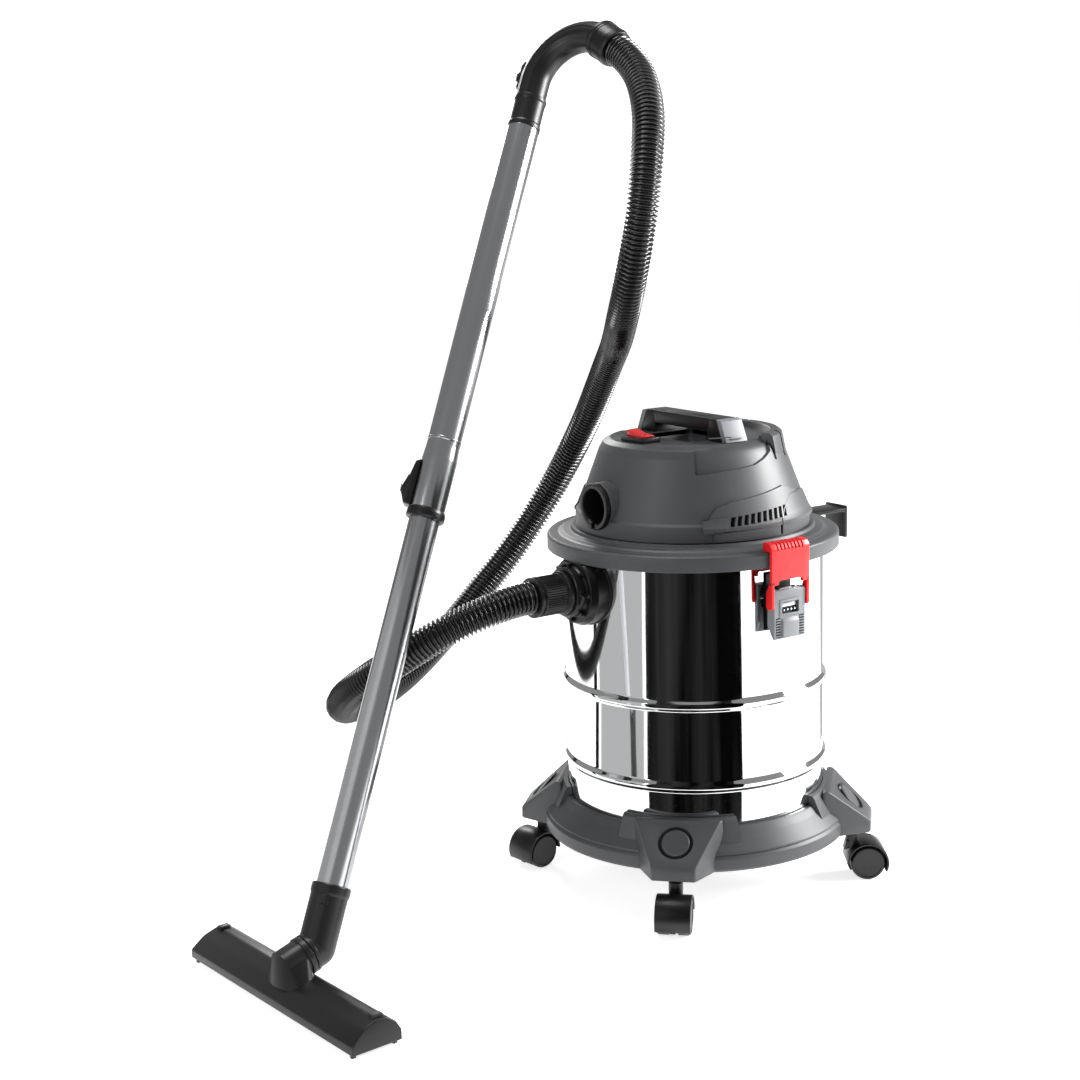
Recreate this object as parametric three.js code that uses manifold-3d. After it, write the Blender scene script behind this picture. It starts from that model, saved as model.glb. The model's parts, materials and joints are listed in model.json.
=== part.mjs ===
// Wet and dry shop vacuum of about 20 litres: a steel drum on a castor base, a motor head held down by
// two over-centre latches, and a suction hose that ends in a handle, a telescopic tube and a floor nozzle.
// Millimetres, +Z up. The drum's axis is x = 0, y = 0 while the parts are made, the hose inlet faces -Y,
// the latches are on +X and -X, and the whole is moved at the end so that the origin is below its middle.
import * as THREE from "three";
import { mergeVertices } from "three/addons/utils/BufferGeometryUtils.js";
import Module from "manifold-3d";

const wasm = await Module();
wasm.setup();

// ---- Driving dimensions -------------------------------------------------------------------------

const GAP = 0.3; // between pieces that touch
const RUNNING = 0.4; // between pieces that turn or slide on each other
const ROUND = 48; // facets of the drum and everything fitted round it

const drum = {
  radius: 150,
  wall: 1.2,
  floorZ: 68,
  height: 340,
  cornerRadius: 10,
  beadHeights: [83, 176], // above the drum's floor
  beadRise: 3.7,
  beadHalf: 5,
  rimRise: 2.6,
};
drum.topZ = drum.floorZ + drum.height;

const base = {
  wall: 6,
  ringRadius: drum.radius + 28,
  ringHeight: 44,
  skirtHeight: 18,
  armReach: drum.radius + 57,
  armRise: 55,
  armTipWidth: 48,
  armRootWidth: 98,
  armCount: 4,
  firstArm: 45, // degrees
};
base.bottomZ = drum.floorZ - GAP - base.wall;

const castor = {
  wheelRadius: 20,
  wheelWidth: 15.5,
  webWidth: 6,
  hoodWall: 2.6,
  hoodGap: 2,
  trail: 16,
  axleRadius: 2.5,
  stemRadius: 4,
  stemInset: 22, // from the arm's tip to the stem
  socketDepth: 20,
  yaws: [56, 150, -82, -44], // rest headings of the four castors, degrees
};

// Lowest height at which the stem, which is wider than the web, clears the wheels beside the web.
castor.wheelSide = castor.webWidth / 2 + RUNNING;
castor.stemReach = castor.trail - Math.sqrt(castor.stemRadius ** 2 - castor.wheelSide ** 2);
castor.stemFoot = castor.wheelRadius + Math.sqrt(castor.wheelRadius ** 2 - castor.stemReach ** 2);

const lid = {
  radius: drum.radius + 18,
  skirt: 12,
  skirtWall: 4.5,
  plate: 11,
  neckRadius: 60,
  gasket: 1.4,
  shoulderRadius: drum.radius - 11,
  edge: 5.5,
};
lid.channelZ = drum.topZ + GAP + lid.gasket + GAP;
lid.topZ = lid.channelZ + 13;

const cover = {
  bottomRadius: lid.shoulderRadius - 4,
  taper: 29, // from its lower edge to the shoulder below its top
  height: 100.5,
  skirt: 20,
  step: 4,
  wall: 2.5,
  panelRise: 2.4,
  slotCount: 10,
  slotPitch: 7.6,
  slotWidth: 3.6,
  slotHeight: 16,
  wellDepth: 18,
  wellLength: 100,
  wellWidth: 76,
};
cover.bottomZ = lid.topZ + GAP;
cover.topZ = cover.bottomZ + cover.height;
cover.topRadius = cover.bottomRadius - cover.taper;

const port = {
  z: cover.bottomZ + 33.5,
  outer: 26.5,
  bore: 18,
  reach: cover.bottomRadius + 4,
  ringWall: 2.7,
  ringDepth: 27,
};

const grip = { halfBottom: 83, halfTop: 72, width: 30, height: 25, bar: 15, post: 28, cap: 8 };

const rocker = { y: -72, width: 33, length: 18, rim: 4, bezelHeight: 5.5, rise: 10 };

const inlet = {
  z: drum.topZ - 42.5,
  radius: 40,
  faceY: drum.radius + 20,
  collarRadius: 28,
  collarY: drum.radius + 32,
  bore: 19.5,
  gasket: 2,
  nutWidth: 6,
};

const hoseDiameter = 37;

const cuff = {
  radius: hoseDiameter / 2 + 4,
  plug: inlet.bore - 1,
  ring: inlet.collarRadius - 3,
  length: 42.7,
};

const latch = {
  pinZ: drum.topZ - 37, // lever pin above the floor
  pinR: drum.radius + 13,
  hookPin: [3, -14], // from the lever pin
  leverWidth: 44,
  leverLength: 53,
  leverTop: 2,
  plate: 4,
  plateOffset: 4,
  hookPlay: 0.8, // between the lever and the hook's legs
  legWidth: 4.2,
  hookPlate: 4,
  hookLip: 11,
  pinRadius: 2,
  eyeRadius: 3.6,
  bracketWidth: 34,
  bracketBelow: 46,
  bracketAbove: 18,
  bracketPlate: 3,
};
latch.hookWidth = latch.leverWidth + 2 * (latch.hookPlay + latch.legWidth);

const wand = {
  foot: [30.5, -500.3, 108.4], // top of the nozzle elbow's collar, on the tube's axis
  direction: [-0.2091, 0.4375, 0.8745],
  length: 872,
  lowerRadius: 17,
  wall: 1,
  slide: 0.3, // between the two tubes
  socketPlay: 1.4, // between the lower tube and the upper tube's widened end
  collarAt: 400,
  collarLength: 11,
  collarWall: 4.5,
  socketEnd: 470,
  taper: 12,
  overlap: 130,
  latchTurn: 32, // degrees round the tube, from the side away from the handle's bend
  insert: 22,
};
wand.upperRadius = wand.lowerRadius + wand.slide + wand.wall;
wand.socketRadius = wand.lowerRadius + wand.socketPlay + wand.wall;
wand.collarRadius = wand.lowerRadius + wand.collarWall;

const handle = {
  plug: 34,
  sleeveRadius: wand.upperRadius - 0.5,
  sleeveLength: 39,
  straight: 59,
  bendRadius: 55,
  bendAngle: 2.154,
  bendDirection: [0.9277, 0.3715, 0.036],
  radius: wand.upperRadius - 0.7,
  bore: wand.upperRadius - 3.9,
  cuffRadius: hoseDiameter / 2 + 3.5,
  cuffLength: 31,
  cuffOverlap: 10,
  sliderLength: 36,
};

const nozzle = {
  centre: [41, -558],
  turn: 5.3, // degrees
  length: 314,
  width: 58,
  height: 34,
  wall: 2.4,
  endBevel: 12,
  pivot: 65, // from the wand's foot down to the elbow pivot, along the wand
  stubTilt: 17, // degrees
  stubRadius: wand.lowerRadius + 2.8,
  stubLength: 44,
  seam: 12,
  bore: wand.lowerRadius - 1.5,
  stripWidth: 4,
  stripInset: 6,
  stripHeight: 14,
};

const fan = { housingRadius: 78, height: 34, impellerRadius: 66, motorRadius: 46, motorHeight: 42 };

const filter = { cageRadius: 36, cageLength: 88, ballRadius: 17, ballTravel: 30 };
filter.radius = 58;
filter.thickness = 12;

const cordHook = { reach: lid.radius + 57, width: 36, wall: 4, plateHeight: 36, armHeight: 14 };

// Hose centreline from the handle cuff to the inlet cuff; both end points are worked out from the cuffs.
const hosePoints = [
  [-32, -42, 927],
  [2, -56, 888],
  [21, -72, 841],
  [25, -82, 789],
  [12, -83, 737],
  [-14, -75, 692],
  [-51, -57, 658],
  [-93, -32, 636],
  [-136, -7, 616],
  [-178, 11, 588],
  [-217, 24, 554],
  [-254, 32, 515],
  [-286, 31, 473],
  [-309, 17, 427],
  [-323, -8, 382],
  [-330, -41, 340],
  [-334, -78, 302],
  [-331, -119, 267],
  [-322, -163, 238],
  [-306, -209, 216],
  [-284, -256, 204],
  [-255, -301, 203],
  [-222, -342, 211],
  [-181, -371, 229],
  [-136, -385, 254],
  [-91, -381, 282],
  [-51, -360, 311],
  [-22, -324, 339],
  [-5, -278, 358],
];

// ---- Materials ----------------------------------------------------------------------------------

const material = (color, roughness, metalness = 0) =>
  new THREE.MeshStandardMaterial({ color, roughness, metalness });

const finish = {
  steel: material(0xd4d6d8, 0.08, 1),
  tube: material(0xc6c8ca, 0.2, 1),
  pin: material(0x9a9c9e, 0.35, 1),
  grey: material(0x46474a, 0.5),
  lightGrey: material(0x8b8d90, 0.45),
  black: material(0x1c1c1e, 0.45),
  castor: material(0x28282a, 0.4),
  red: material(0xd2141a, 0.35),
  rubber: material(0x151515, 0.85),
  hose: material(0x121213, 0.3),
  foam: material(0x2f3236, 0.95),
  copper: material(0x8a5a32, 0.5, 0.6),
};

// ---- Solids -------------------------------------------------------------------------------------

// A closed three.js geometry as a solid, turned the right way out.
function solid(geometry) {
  const plain = geometry.clone();
  for (const name of Object.keys(plain.attributes)) {
    if (name !== "position") plain.deleteAttribute(name);
  }
  const merged = mergeVertices(plain, 1e-3);
  const triVerts = new Uint32Array(merged.index.array);
  const vertProperties = new Float32Array(merged.attributes.position.array);
  const made = new wasm.Manifold(new wasm.Mesh({ numProp: 3, vertProperties, triVerts }));
  if (made.volume() >= 0) return made;
  for (let i = 0; i < triVerts.length; i += 3) {
    const second = triVerts[i + 1];
    triVerts[i + 1] = triVerts[i + 2];
    triVerts[i + 2] = second;
  }
  return new wasm.Manifold(new wasm.Mesh({ numProp: 3, vertProperties, triVerts }));
}

function geometryOf(shape) {
  const mesh = shape.getMesh();
  const count = mesh.vertProperties.length / mesh.numProp;
  const positions = new Float32Array(count * 3);
  for (let i = 0; i < count; i += 1) {
    const start = i * mesh.numProp;
    positions.set(mesh.vertProperties.subarray(start, start + 3), i * 3);
  }
  const geometry = new THREE.BufferGeometry();
  geometry.setAttribute("position", new THREE.BufferAttribute(positions, 3));
  geometry.setIndex(new THREE.BufferAttribute(new Uint32Array(mesh.triVerts), 1));
  geometry.computeVertexNormals();
  return geometry;
}

const join = (shapes) => shapes.reduce((whole, shape) => whole.add(shape));
const cut = (shape, tools) => tools.reduce((rest, tool) => rest.subtract(tool), shape);

// A solid of revolution about Z from [radius, height] points.
function turned(outline, segments = 48) {
  const closed = outline.at(0)[0] === 0 && outline.at(-1)[0] === 0 ? outline : [...outline, outline[0]];
  const points = closed.map(([r, z]) => new THREE.Vector2(r, z));
  return solid(new THREE.LatheGeometry(points, segments).rotateX(Math.PI / 2));
}

// A ring or tube about Z.
function ring(outer, inner, low, high, segments = 40) {
  return turned([[inner, low], [outer, low], [outer, high], [inner, high]], segments);
}

// An upright cylinder, or a cone where the top radius differs.
function rod(radius, low, high, segments = 32, topRadius = radius) {
  const geometry = new THREE.CylinderGeometry(topRadius, radius, high - low, segments);
  return solid(geometry.rotateX(Math.PI / 2).translate(0, 0, (low + high) / 2));
}

function block(x0, x1, y0, y1, z0, z1) {
  const geometry = new THREE.BoxGeometry(x1 - x0, y1 - y0, z1 - z0);
  return solid(geometry.translate((x0 + x1) / 2, (y0 + y1) / 2, (z0 + z1) / 2));
}

function ball(radius, x, y, z, segments = 24) {
  return solid(new THREE.SphereGeometry(radius, segments, segments / 2).translate(x, y, z));
}

// An outline in the XZ plane, pushed out along Y from y0 to y1.
function slab(outline, y0, y1) {
  const shape = new THREE.Shape(outline.map(([x, z]) => new THREE.Vector2(x, z)));
  const geometry = new THREE.ExtrudeGeometry(shape, { depth: y1 - y0, bevelEnabled: false });
  return solid(geometry.rotateX(Math.PI / 2).translate(0, y1, 0));
}

// A round or oval section pushed along a curve.
function sweep(curve, radius, sides, steps) {
  const section = new THREE.Shape();
  for (let i = 0; i < sides; i += 1) {
    const angle = (i / sides) * 2 * Math.PI;
    const place = [radius * Math.cos(angle), radius * Math.sin(angle)];
    if (i === 0) section.moveTo(...place);
    else section.lineTo(...place);
  }
  return solid(new THREE.ExtrudeGeometry(section, { steps, extrudePath: curve, bevelEnabled: false }));
}

// Places a solid made about the origin, with +Z along direction, at a point.
function placed(shape, point, direction) {
  const turn = new THREE.Quaternion().setFromUnitVectors(new THREE.Vector3(0, 0, 1), direction);
  const matrix = new THREE.Matrix4().compose(point, turn, new THREE.Vector3(1, 1, 1));
  return shape.transform(matrix.elements);
}

const aboutZ = (shape, degrees) => shape.rotate([0, 0, degrees]);
const toMinusY = (shape, z) => shape.rotate([90, 0, 0]).translate([0, 0, z]); // +Z becomes -Y

const rig = new THREE.Group();

function addPart(name, shape, surface, parent = rig) {
  const mesh = new THREE.Mesh(geometryOf(shape), surface);
  mesh.name = name;
  parent.add(mesh);
  return mesh;
}

const radians = (degrees) => (degrees * Math.PI) / 180;
const polar = (radius, degrees) => [
  radius * Math.cos(radians(degrees)),
  radius * Math.sin(radians(degrees)),
];

// ---- Drum ---------------------------------------------------------------------------------------

function drumOutline(inset) {
  const { radius, floorZ, topZ, cornerRadius, beadHeights, beadRise, beadHalf, rimRise } = drum;
  const wallR = radius - inset;
  const floor = floorZ + inset;
  const corner = cornerRadius - inset;
  const outline = [[0, floor]];
  for (const share of [0, 0.5, 1]) {
    const angle = (share * Math.PI) / 2;
    const r = wallR - corner + corner * Math.sin(angle);
    outline.push([r, floor + corner - corner * Math.cos(angle)]);
  }
  for (const height of inset === 0 ? beadHeights : []) {
    const z = floorZ + height;
    outline.push([wallR, z - beadHalf]);
    outline.push([wallR + beadRise, z - beadHalf * 0.35]);
    outline.push([wallR + beadRise, z + beadHalf * 0.35]);
    outline.push([wallR, z + beadHalf]);
  }
  if (inset === 0) {
    outline.push([radius, topZ - 5]);
    outline.push([radius + rimRise, topZ - 4]);
    outline.push([radius + rimRise, topZ]);
  }
  outline.push([wallR, topZ]);
  return outline;
}

function makeDrum() {
  const outside = drumOutline(0).slice(0, -1);
  const inside = drumOutline(drum.wall).reverse();
  const shell = turned([...outside, ...inside], ROUND);
  const hole = toMinusY(rod(inlet.bore + 3 + GAP, drum.radius - 20, drum.radius + 20, 28), inlet.z);
  addPart("drum", shell.subtract(hole), finish.steel);
}

// ---- Inlet --------------------------------------------------------------------------------------

function makeInlet() {
  const wallR = drum.radius;
  const low = inlet.z - 60;
  const high = lid.channelZ - lid.skirt - 1; // the lid's skirt comes down over the boss
  const outside = ring(wallR + 80, wallR + inlet.gasket + 2 * GAP, low, high, ROUND);
  const shell = ring(wallR + GAP + inlet.gasket, wallR + GAP, low, high, ROUND);
  const disc = ring(inlet.radius + 1, inlet.bore + 3.6, wallR - 30, wallR + 70, 32);
  addPart("inlet_gasket", toMinusY(disc, inlet.z).intersect(shell), finish.rubber);

  const { radius, faceY, collarY, collarRadius, bore } = inlet;
  const spigotEnd = wallR - 12;
  const outline = [
    [bore, wallR - 20],
    [radius, wallR - 20],
    [radius, faceY - 7],
    [radius - 2, faceY - 2.5],
    [radius - 6, faceY],
    [collarRadius, faceY],
    [collarRadius, collarY - 1.5],
    [collarRadius - 1.5, collarY],
    [bore, collarY],
  ];
  const boss = toMinusY(turned(outline, 32), inlet.z).intersect(outside);
  const spigot = toMinusY(ring(bore + 3, bore, spigotEnd, faceY - 2, 32), inlet.z);
  addPart("inlet_socket", boss.add(spigot), finish.black);

  const inner = ring(wallR - drum.wall - GAP, wallR - 60, low, high, ROUND);
  const nut = rod(bore + 11, spigotEnd, wallR, 8).subtract(rod(bore + 3 + GAP, wallR - 50, wallR + 50, 32));
  addPart("inlet_lock_nut", toMinusY(nut, inlet.z).intersect(inner), finish.black);
}

function makeConnectorCuff() {
  const start = inlet.collarY + GAP;
  const outline = [
    [cuff.plug - 3, start - 30],
    [cuff.plug, start - 30],
    [cuff.plug, start],
    [cuff.ring, start],
    [cuff.ring, start + 4],
    [cuff.radius, start + 5],
    [cuff.radius, start + cuff.length - 2],
    [cuff.radius - 2, start + cuff.length],
    [cuff.plug - 3, start + cuff.length],
  ];
  addPart("hose_connector", toMinusY(turned(outline, 28), inlet.z), finish.black);
}

// ---- Castor base --------------------------------------------------------------------------------

function armShape() {
  const { bottomZ, armReach, armRise, armTipWidth, armRootWidth } = base;
  const rootR = drum.radius + 8;
  const outline = [
    [drum.radius - 12, bottomZ],
    [armReach, bottomZ],
    [armReach, bottomZ + 14],
    [armReach - 4, bottomZ + 18],
    [rootR + 2, bottomZ + armRise],
    [drum.radius - 12, bottomZ + armRise],
  ];
  const shape = new THREE.Shape(outline.map(([r, z]) => new THREE.Vector2(r, z)));
  const geometry = new THREE.ExtrudeGeometry(shape, { depth: 1, bevelEnabled: false });
  geometry.rotateX(Math.PI / 2).translate(0, 0.5, 0);
  const places = geometry.attributes.position;
  for (let i = 0; i < places.count; i += 1) {
    const reach = THREE.MathUtils.clamp((places.getX(i) - rootR) / (armReach - rootR), 0, 1);
    const foot = places.getZ(i) < bottomZ + 1 ? 8 : 0;
    const width = THREE.MathUtils.lerp(armRootWidth, armTipWidth, reach) + foot * (1 - reach);
    places.setY(i, places.getY(i) * width);
  }
  return solid(geometry);
}

const capPlace = () => {
  const { bottomZ, armReach, armRise } = base;
  const low = new THREE.Vector2(armReach - 4, bottomZ + 18);
  const high = new THREE.Vector2(drum.radius + 10, bottomZ + armRise);
  const along = high.clone().sub(low).normalize();
  return { middle: low.clone().lerp(high, 0.48), slope: Math.atan2(-along.x, along.y) };
};

function onArm(shape, degrees) {
  const { middle, slope } = capPlace();
  const tilted = shape.rotate([0, 90 - (slope * 180) / Math.PI, 0]);
  return aboutZ(tilted.translate([middle.x, 0, middle.y]), degrees);
}

const armAngles = Array.from(
  { length: base.armCount },
  (_, i) => base.firstArm + (i * 360) / base.armCount,
);

function makeBase() {
  const { bottomZ, ringRadius, ringHeight, skirtHeight, wall } = base;
  const inner = drum.radius + GAP;
  const floorTop = bottomZ + wall;
  const pan = turned([
    [0, bottomZ],
    [ringRadius - 2, bottomZ],
    [ringRadius, bottomZ + 2],
    [ringRadius, bottomZ + skirtHeight],
    [inner + 8, bottomZ + ringHeight - 3],
    [inner + 4, bottomZ + ringHeight],
    [inner, bottomZ + ringHeight],
    [inner, floorTop],
    [0, floorTop],
  ], ROUND);
  const seat = rod(inner, floorTop, bottomZ + 90, ROUND);
  const arms = armAngles.map((angle) => aboutZ(armShape(), angle));
  const stemR = base.armReach - castor.stemInset;
  const sockets = armAngles.map((angle) => {
    const socket = rod(castor.stemRadius + RUNNING, bottomZ - 5, bottomZ + castor.socketDepth, 12);
    const [x, y] = polar(stemR, angle);
    return socket.translate([x, y, 0]);
  });
  const recesses = armAngles.map((angle) => onArm(rod(19.6, -3.5, 12, 24), angle));
  const body = cut(join([pan, ...arms]), [seat, ...sockets, ...recesses]);
  addPart("castor_base", body, finish.grey);
  armAngles.forEach((angle, i) => {
    const cap = turned([[0, -3.5 + GAP], [16, -3.5 + GAP], [16, -0.8], [15, 0.2], [0, 0.2]], 24);
    addPart(`arm_cap_${i + 1}`, onArm(cap, angle), finish.grey);
  });
}

// ---- Castors ------------------------------------------------------------------------------------

function castorHood() {
  const { wheelRadius, hoodGap, hoodWall, webWidth, wheelWidth, trail } = castor;
  const inner = wheelRadius + hoodGap;
  const outer = inner + hoodWall;
  const half = webWidth / 2 + wheelWidth + 1.5;
  const outline = [];
  const steps = 10;
  for (let i = 0; i <= steps; i += 1) {
    const angle = radians(-25 + (205 * i) / steps);
    outline.push([trail + outer * Math.cos(angle), wheelRadius + outer * Math.sin(angle)]);
  }
  for (let i = steps; i >= 0; i -= 1) {
    const angle = radians(-25 + (205 * i) / steps);
    outline.push([trail + inner * Math.cos(angle), wheelRadius + inner * Math.sin(angle)]);
  }
  const fender = slab(outline, -half, half);
  const disc = rod(inner + 1, -webWidth / 2, webWidth / 2, 20).rotate([90, 0, 0]);
  const web = disc.translate([trail, 0, wheelRadius]).intersect(block(-40, 60, -20, 20, 7, 80));
  const neck = rod(8, wheelRadius + 10, base.bottomZ - 5.8, 12);
  const gapForWheels = cut(rod(inner, -half, half, 20).rotate([90, 0, 0]), [
    block(-40, 40, -webWidth / 2, webWidth / 2, -40, 40),
  ]).translate([trail, 0, wheelRadius]);
  const axleHole = rod(castor.axleRadius + RUNNING, -10, 10, 12).rotate([90, 0, 0]);
  const stemHole = rod(castor.stemRadius + GAP, castor.stemFoot, base.bottomZ, 12);
  return cut(join([fender, web, neck.subtract(gapForWheels)]), [
    axleHole.translate([trail, 0, wheelRadius]),
    stemHole,
  ]);
}

function castorWheels() {
  const { wheelRadius, wheelWidth, wheelSide, axleRadius, trail } = castor;
  const near = wheelSide;
  const far = near + wheelWidth;
  const outline = [
    [0, near],
    [wheelRadius - 1.5, near],
    [wheelRadius, near + 1.5],
    [wheelRadius, far - 2],
    [wheelRadius - 2, far],
    [0, far],
  ];
  const one = turned(outline, 24).rotate([90, 0, 0]);
  const other = one.mirror([0, 1, 0]);
  const axle = rod(axleRadius, -near - 1, near + 1, 12).rotate([90, 0, 0]);
  return join([one, other, axle]).translate([trail, 0, wheelRadius]);
}

function castorStem() {
  const { stemRadius, stemFoot, socketDepth } = castor;
  const bottom = base.bottomZ;
  return turned([
    [0, stemFoot + GAP],
    [stemRadius, stemFoot + GAP],
    [stemRadius, bottom - 5.2],
    [6.8, bottom - 5.2],
    [6.8, bottom - RUNNING],
    [stemRadius, bottom - RUNNING],
    [stemRadius, bottom + socketDepth - 3],
    [stemRadius - 1.2, bottom + socketDepth - 1],
    [0, bottom + socketDepth - 1],
  ], 12);
}

function makeCastors() {
  const reach = base.armReach - castor.stemInset;
  armAngles.forEach((angle, i) => {
    const place = new THREE.Group();
    place.position.set(...polar(reach, angle), 0);
    place.rotation.z = radians(castor.yaws[i]);
    rig.add(place);
    const number = i + 1;
    addPart(`castor_${number}_hood`, castorHood(), finish.castor, place);
    addPart(`castor_${number}_stem`, castorStem(), finish.pin, place);
    addPart(`castor_${number}_wheels`, castorWheels(), finish.castor, place);
  });
}

// ---- Lid and motor head -------------------------------------------------------------------------

function makeLid() {
  const { radius, skirt, skirtWall, plate, neckRadius, channelZ, topZ, shoulderRadius } = lid;
  const innerSkirt = drum.radius - drum.wall - 2;
  const outline = [
    [neckRadius, topZ - plate],
    [innerSkirt - 3.5, topZ - plate],
    [innerSkirt - 3.5, channelZ - 11],
    [innerSkirt, channelZ - 11],
    [innerSkirt, channelZ],
    [radius - skirtWall, channelZ],
    [radius - skirtWall, channelZ - skirt],
    [radius, channelZ - skirt],
    [radius, channelZ + 3.5],
    [radius - 2, channelZ + lid.edge],
    [shoulderRadius + 15, channelZ + lid.edge],
    [shoulderRadius + 10, topZ - 4],
    [shoulderRadius, topZ],
    [neckRadius, topZ],
  ];
  addPart("lid_base", turned(outline, ROUND), finish.grey);
  const seal = ring(
    drum.radius + drum.rimRise - 0.4,
    innerSkirt + GAP,
    drum.topZ + GAP,
    channelZ - GAP,
    ROUND,
  );
  addPart("lid_gasket", seal, finish.rubber);
}

function coverOutline(inset, rise = 0) {
  const { bottomRadius, topRadius, bottomZ, topZ, skirt, step } = cover;
  const out = rise - inset;
  return [
    [bottomRadius + out, bottomZ],
    [bottomRadius - 0.6 + out, bottomZ + skirt - 2],
    [bottomRadius - step + out, bottomZ + skirt + 1],
    [topRadius + 5 + out, topZ - 26 + out * 0.2],
    [topRadius + out, topZ - 13 + out * 0.4],
    [topRadius - 5 + out, topZ - 4 + out],
    [topRadius - 13 + out * 0.5, topZ + out],
    [0, topZ + out],
  ];
}

// Side panel with its cooling slots, on the +X side; z is measured from the cover's lower edge.
const panelOutline = [
  [-80, 18],
  [-82, 28],
  [-60, 31],
  [-50, 42],
  [32, 62],
  [62, 64],
  [86, 18],
];

function sidePrism(outline, x0, x1) {
  const shape = new THREE.Shape(outline.map(([y, z]) => new THREE.Vector2(y, z + cover.bottomZ)));
  const geometry = new THREE.ExtrudeGeometry(shape, { depth: x1 - x0, bevelEnabled: false });
  return solid(geometry.rotateX(Math.PI / 2).rotateZ(Math.PI / 2).translate(x0, 0, 0));
}

function slotTools() {
  const tools = [];
  for (let i = 0; i < cover.slotCount; i += 1) {
    const y = (i - (cover.slotCount - 1) / 2) * cover.slotPitch - 4;
    const z = 24 + (y + 40) * 0.1;
    const w = cover.slotWidth / 2;
    const h = cover.slotHeight;
    tools.push(sidePrism([[y - w, z], [y + w, z + 0.6], [y + w + 2, z + h + 0.6], [y - w + 2, z + h]],
      cover.bottomRadius - 45, cover.bottomRadius + 15));
  }
  return tools;
}

function makeCover() {
  const outside = coverOutline(0);
  const inside = coverOutline(cover.wall).reverse();
  inside[inside.length - 1][1] = cover.bottomZ;
  const shell = turned([...outside, ...inside], ROUND);
  const rimmed = turned([...coverOutline(0, cover.panelRise), [0, cover.bottomZ]], ROUND);
  const hollow = turned([...coverOutline(cover.wall / 2), [0, cover.bottomZ]], ROUND);
  const skin = rimmed.subtract(hollow);
  const sides = [0, 180];
  const panelBlock = sidePrism(panelOutline, cover.bottomRadius - 75, cover.bottomRadius + 25);
  const panels = sides.map((turn) => aboutZ(skin.intersect(panelBlock), turn));
  const slots = sides.flatMap((turn) => slotTools().map((tool) => aboutZ(tool, turn)));
  const boss = toMinusY(rod(port.outer, port.reach - 39, port.reach - 3, 32), port.z);
  const room = turned([...coverOutline(cover.wall), [0, cover.bottomZ]], ROUND);
  const bore = toMinusY(rod(port.bore + port.ringWall + GAP, port.reach - 49, port.reach + 5, 32), port.z);
  const keep = block(-200, 200, -200, 200, cover.bottomZ, cover.topZ + 50);
  const raised = boss.subtract(room).intersect(keep);
  const holeX = rocker.width / 2 - 1.5;
  const holeY = rocker.length / 2 - 1;
  const switchHole = block(
    -holeX, holeX, rocker.y - holeY, rocker.y + holeY, cover.topZ - 10, cover.topZ + 5,
  );
  const wellFloor = cover.topZ - cover.wellDepth;
  const well = (grow, low) => block(
    -cover.wellLength / 2 - grow, cover.wellLength / 2 + grow,
    -cover.wellWidth / 2 - grow, cover.wellWidth / 2 + grow,
    low, cover.topZ - 1 + (grow > 0 ? 0 : 20),
  );
  const tub = well(cover.wall, wellFloor - cover.wall);
  const added = [...panels, raised, tub];
  const body = cut(join([shell, ...added]), [bore, well(0, wellFloor), ...slots, switchHole]);
  addPart("motor_cover", body, finish.grey);

  const wall = port.bore + port.ringWall;
  const collar = turned([
    [port.bore, port.reach - port.ringDepth],
    [wall, port.reach - port.ringDepth],
    [wall, port.reach - 2.7],
    [port.outer - 1.5, port.reach - 2.7],
    [port.outer - 1.5, port.reach],
    [port.bore, port.reach],
  ], 32);
  const bayonet = block(-5, 5, -port.reach - 5, -port.reach + 12, port.z - 24, port.z - port.bore + 1);
  addPart("blower_port_ring", toMinusY(collar, port.z).subtract(bayonet), finish.black);
}

function makeCarryHandle() {
  const low = cover.topZ + GAP;
  const high = low + grip.height;
  const { halfBottom, halfTop, width, bar, post, cap } = grip;
  const slope = (halfBottom - halfTop) / grip.height;
  const inner = halfBottom - post;
  const outline = [
    [-halfBottom + cap, low],
    [-inner, low],
    [-inner + slope * (grip.height - bar), high - bar],
    [inner - slope * (grip.height - bar), high - bar],
    [inner, low],
    [halfBottom - cap, low],
    [halfTop - cap, high],
    [-halfTop + cap, high],
  ];
  addPart("carry_handle", slab(outline, -width / 2, width / 2), finish.black);
  const capOutline = [
    [halfBottom - cap + GAP, low],
    [halfBottom, low],
    [halfTop, high - 1],
    [halfTop - 1, high],
    [halfTop - cap + GAP, high],
  ];
  [["right", 0], ["left", 180]].forEach(([side, turn]) => {
    const end = aboutZ(slab(capOutline, -width / 2, width / 2), turn);
    addPart(`handle_end_cap_${side}`, end, finish.lightGrey);
  });
}

function makeSwitch() {
  const { width, length, rim, bezelHeight, rise, y } = rocker;
  const low = cover.topZ + GAP;
  const frame = block(
    -width / 2 - rim, width / 2 + rim, y - length / 2 - rim, y + length / 2 + rim,
    low, low + bezelHeight,
  );
  const pocket = block(-width / 2, width / 2, y - length / 2, y + length / 2, low - 5, low + 20);
  addPart("switch_bezel", frame.subtract(pocket), finish.black);
  const half = width / 2 - 1.2;
  const bottom = low + 2.6;
  const outline = [
    [-half + 3, bottom],
    [half - 3, bottom],
    [half, bottom + 3],
    [half, bottom + rise - 5],
    [0, bottom + rise - 4],
    [-half, bottom + rise],
    [-half, bottom + 3],
  ];
  const key = slab(outline, y - length / 2 + 1, y + length / 2 - 1);
  addPart("power_rocker", key, finish.red);
}

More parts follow.
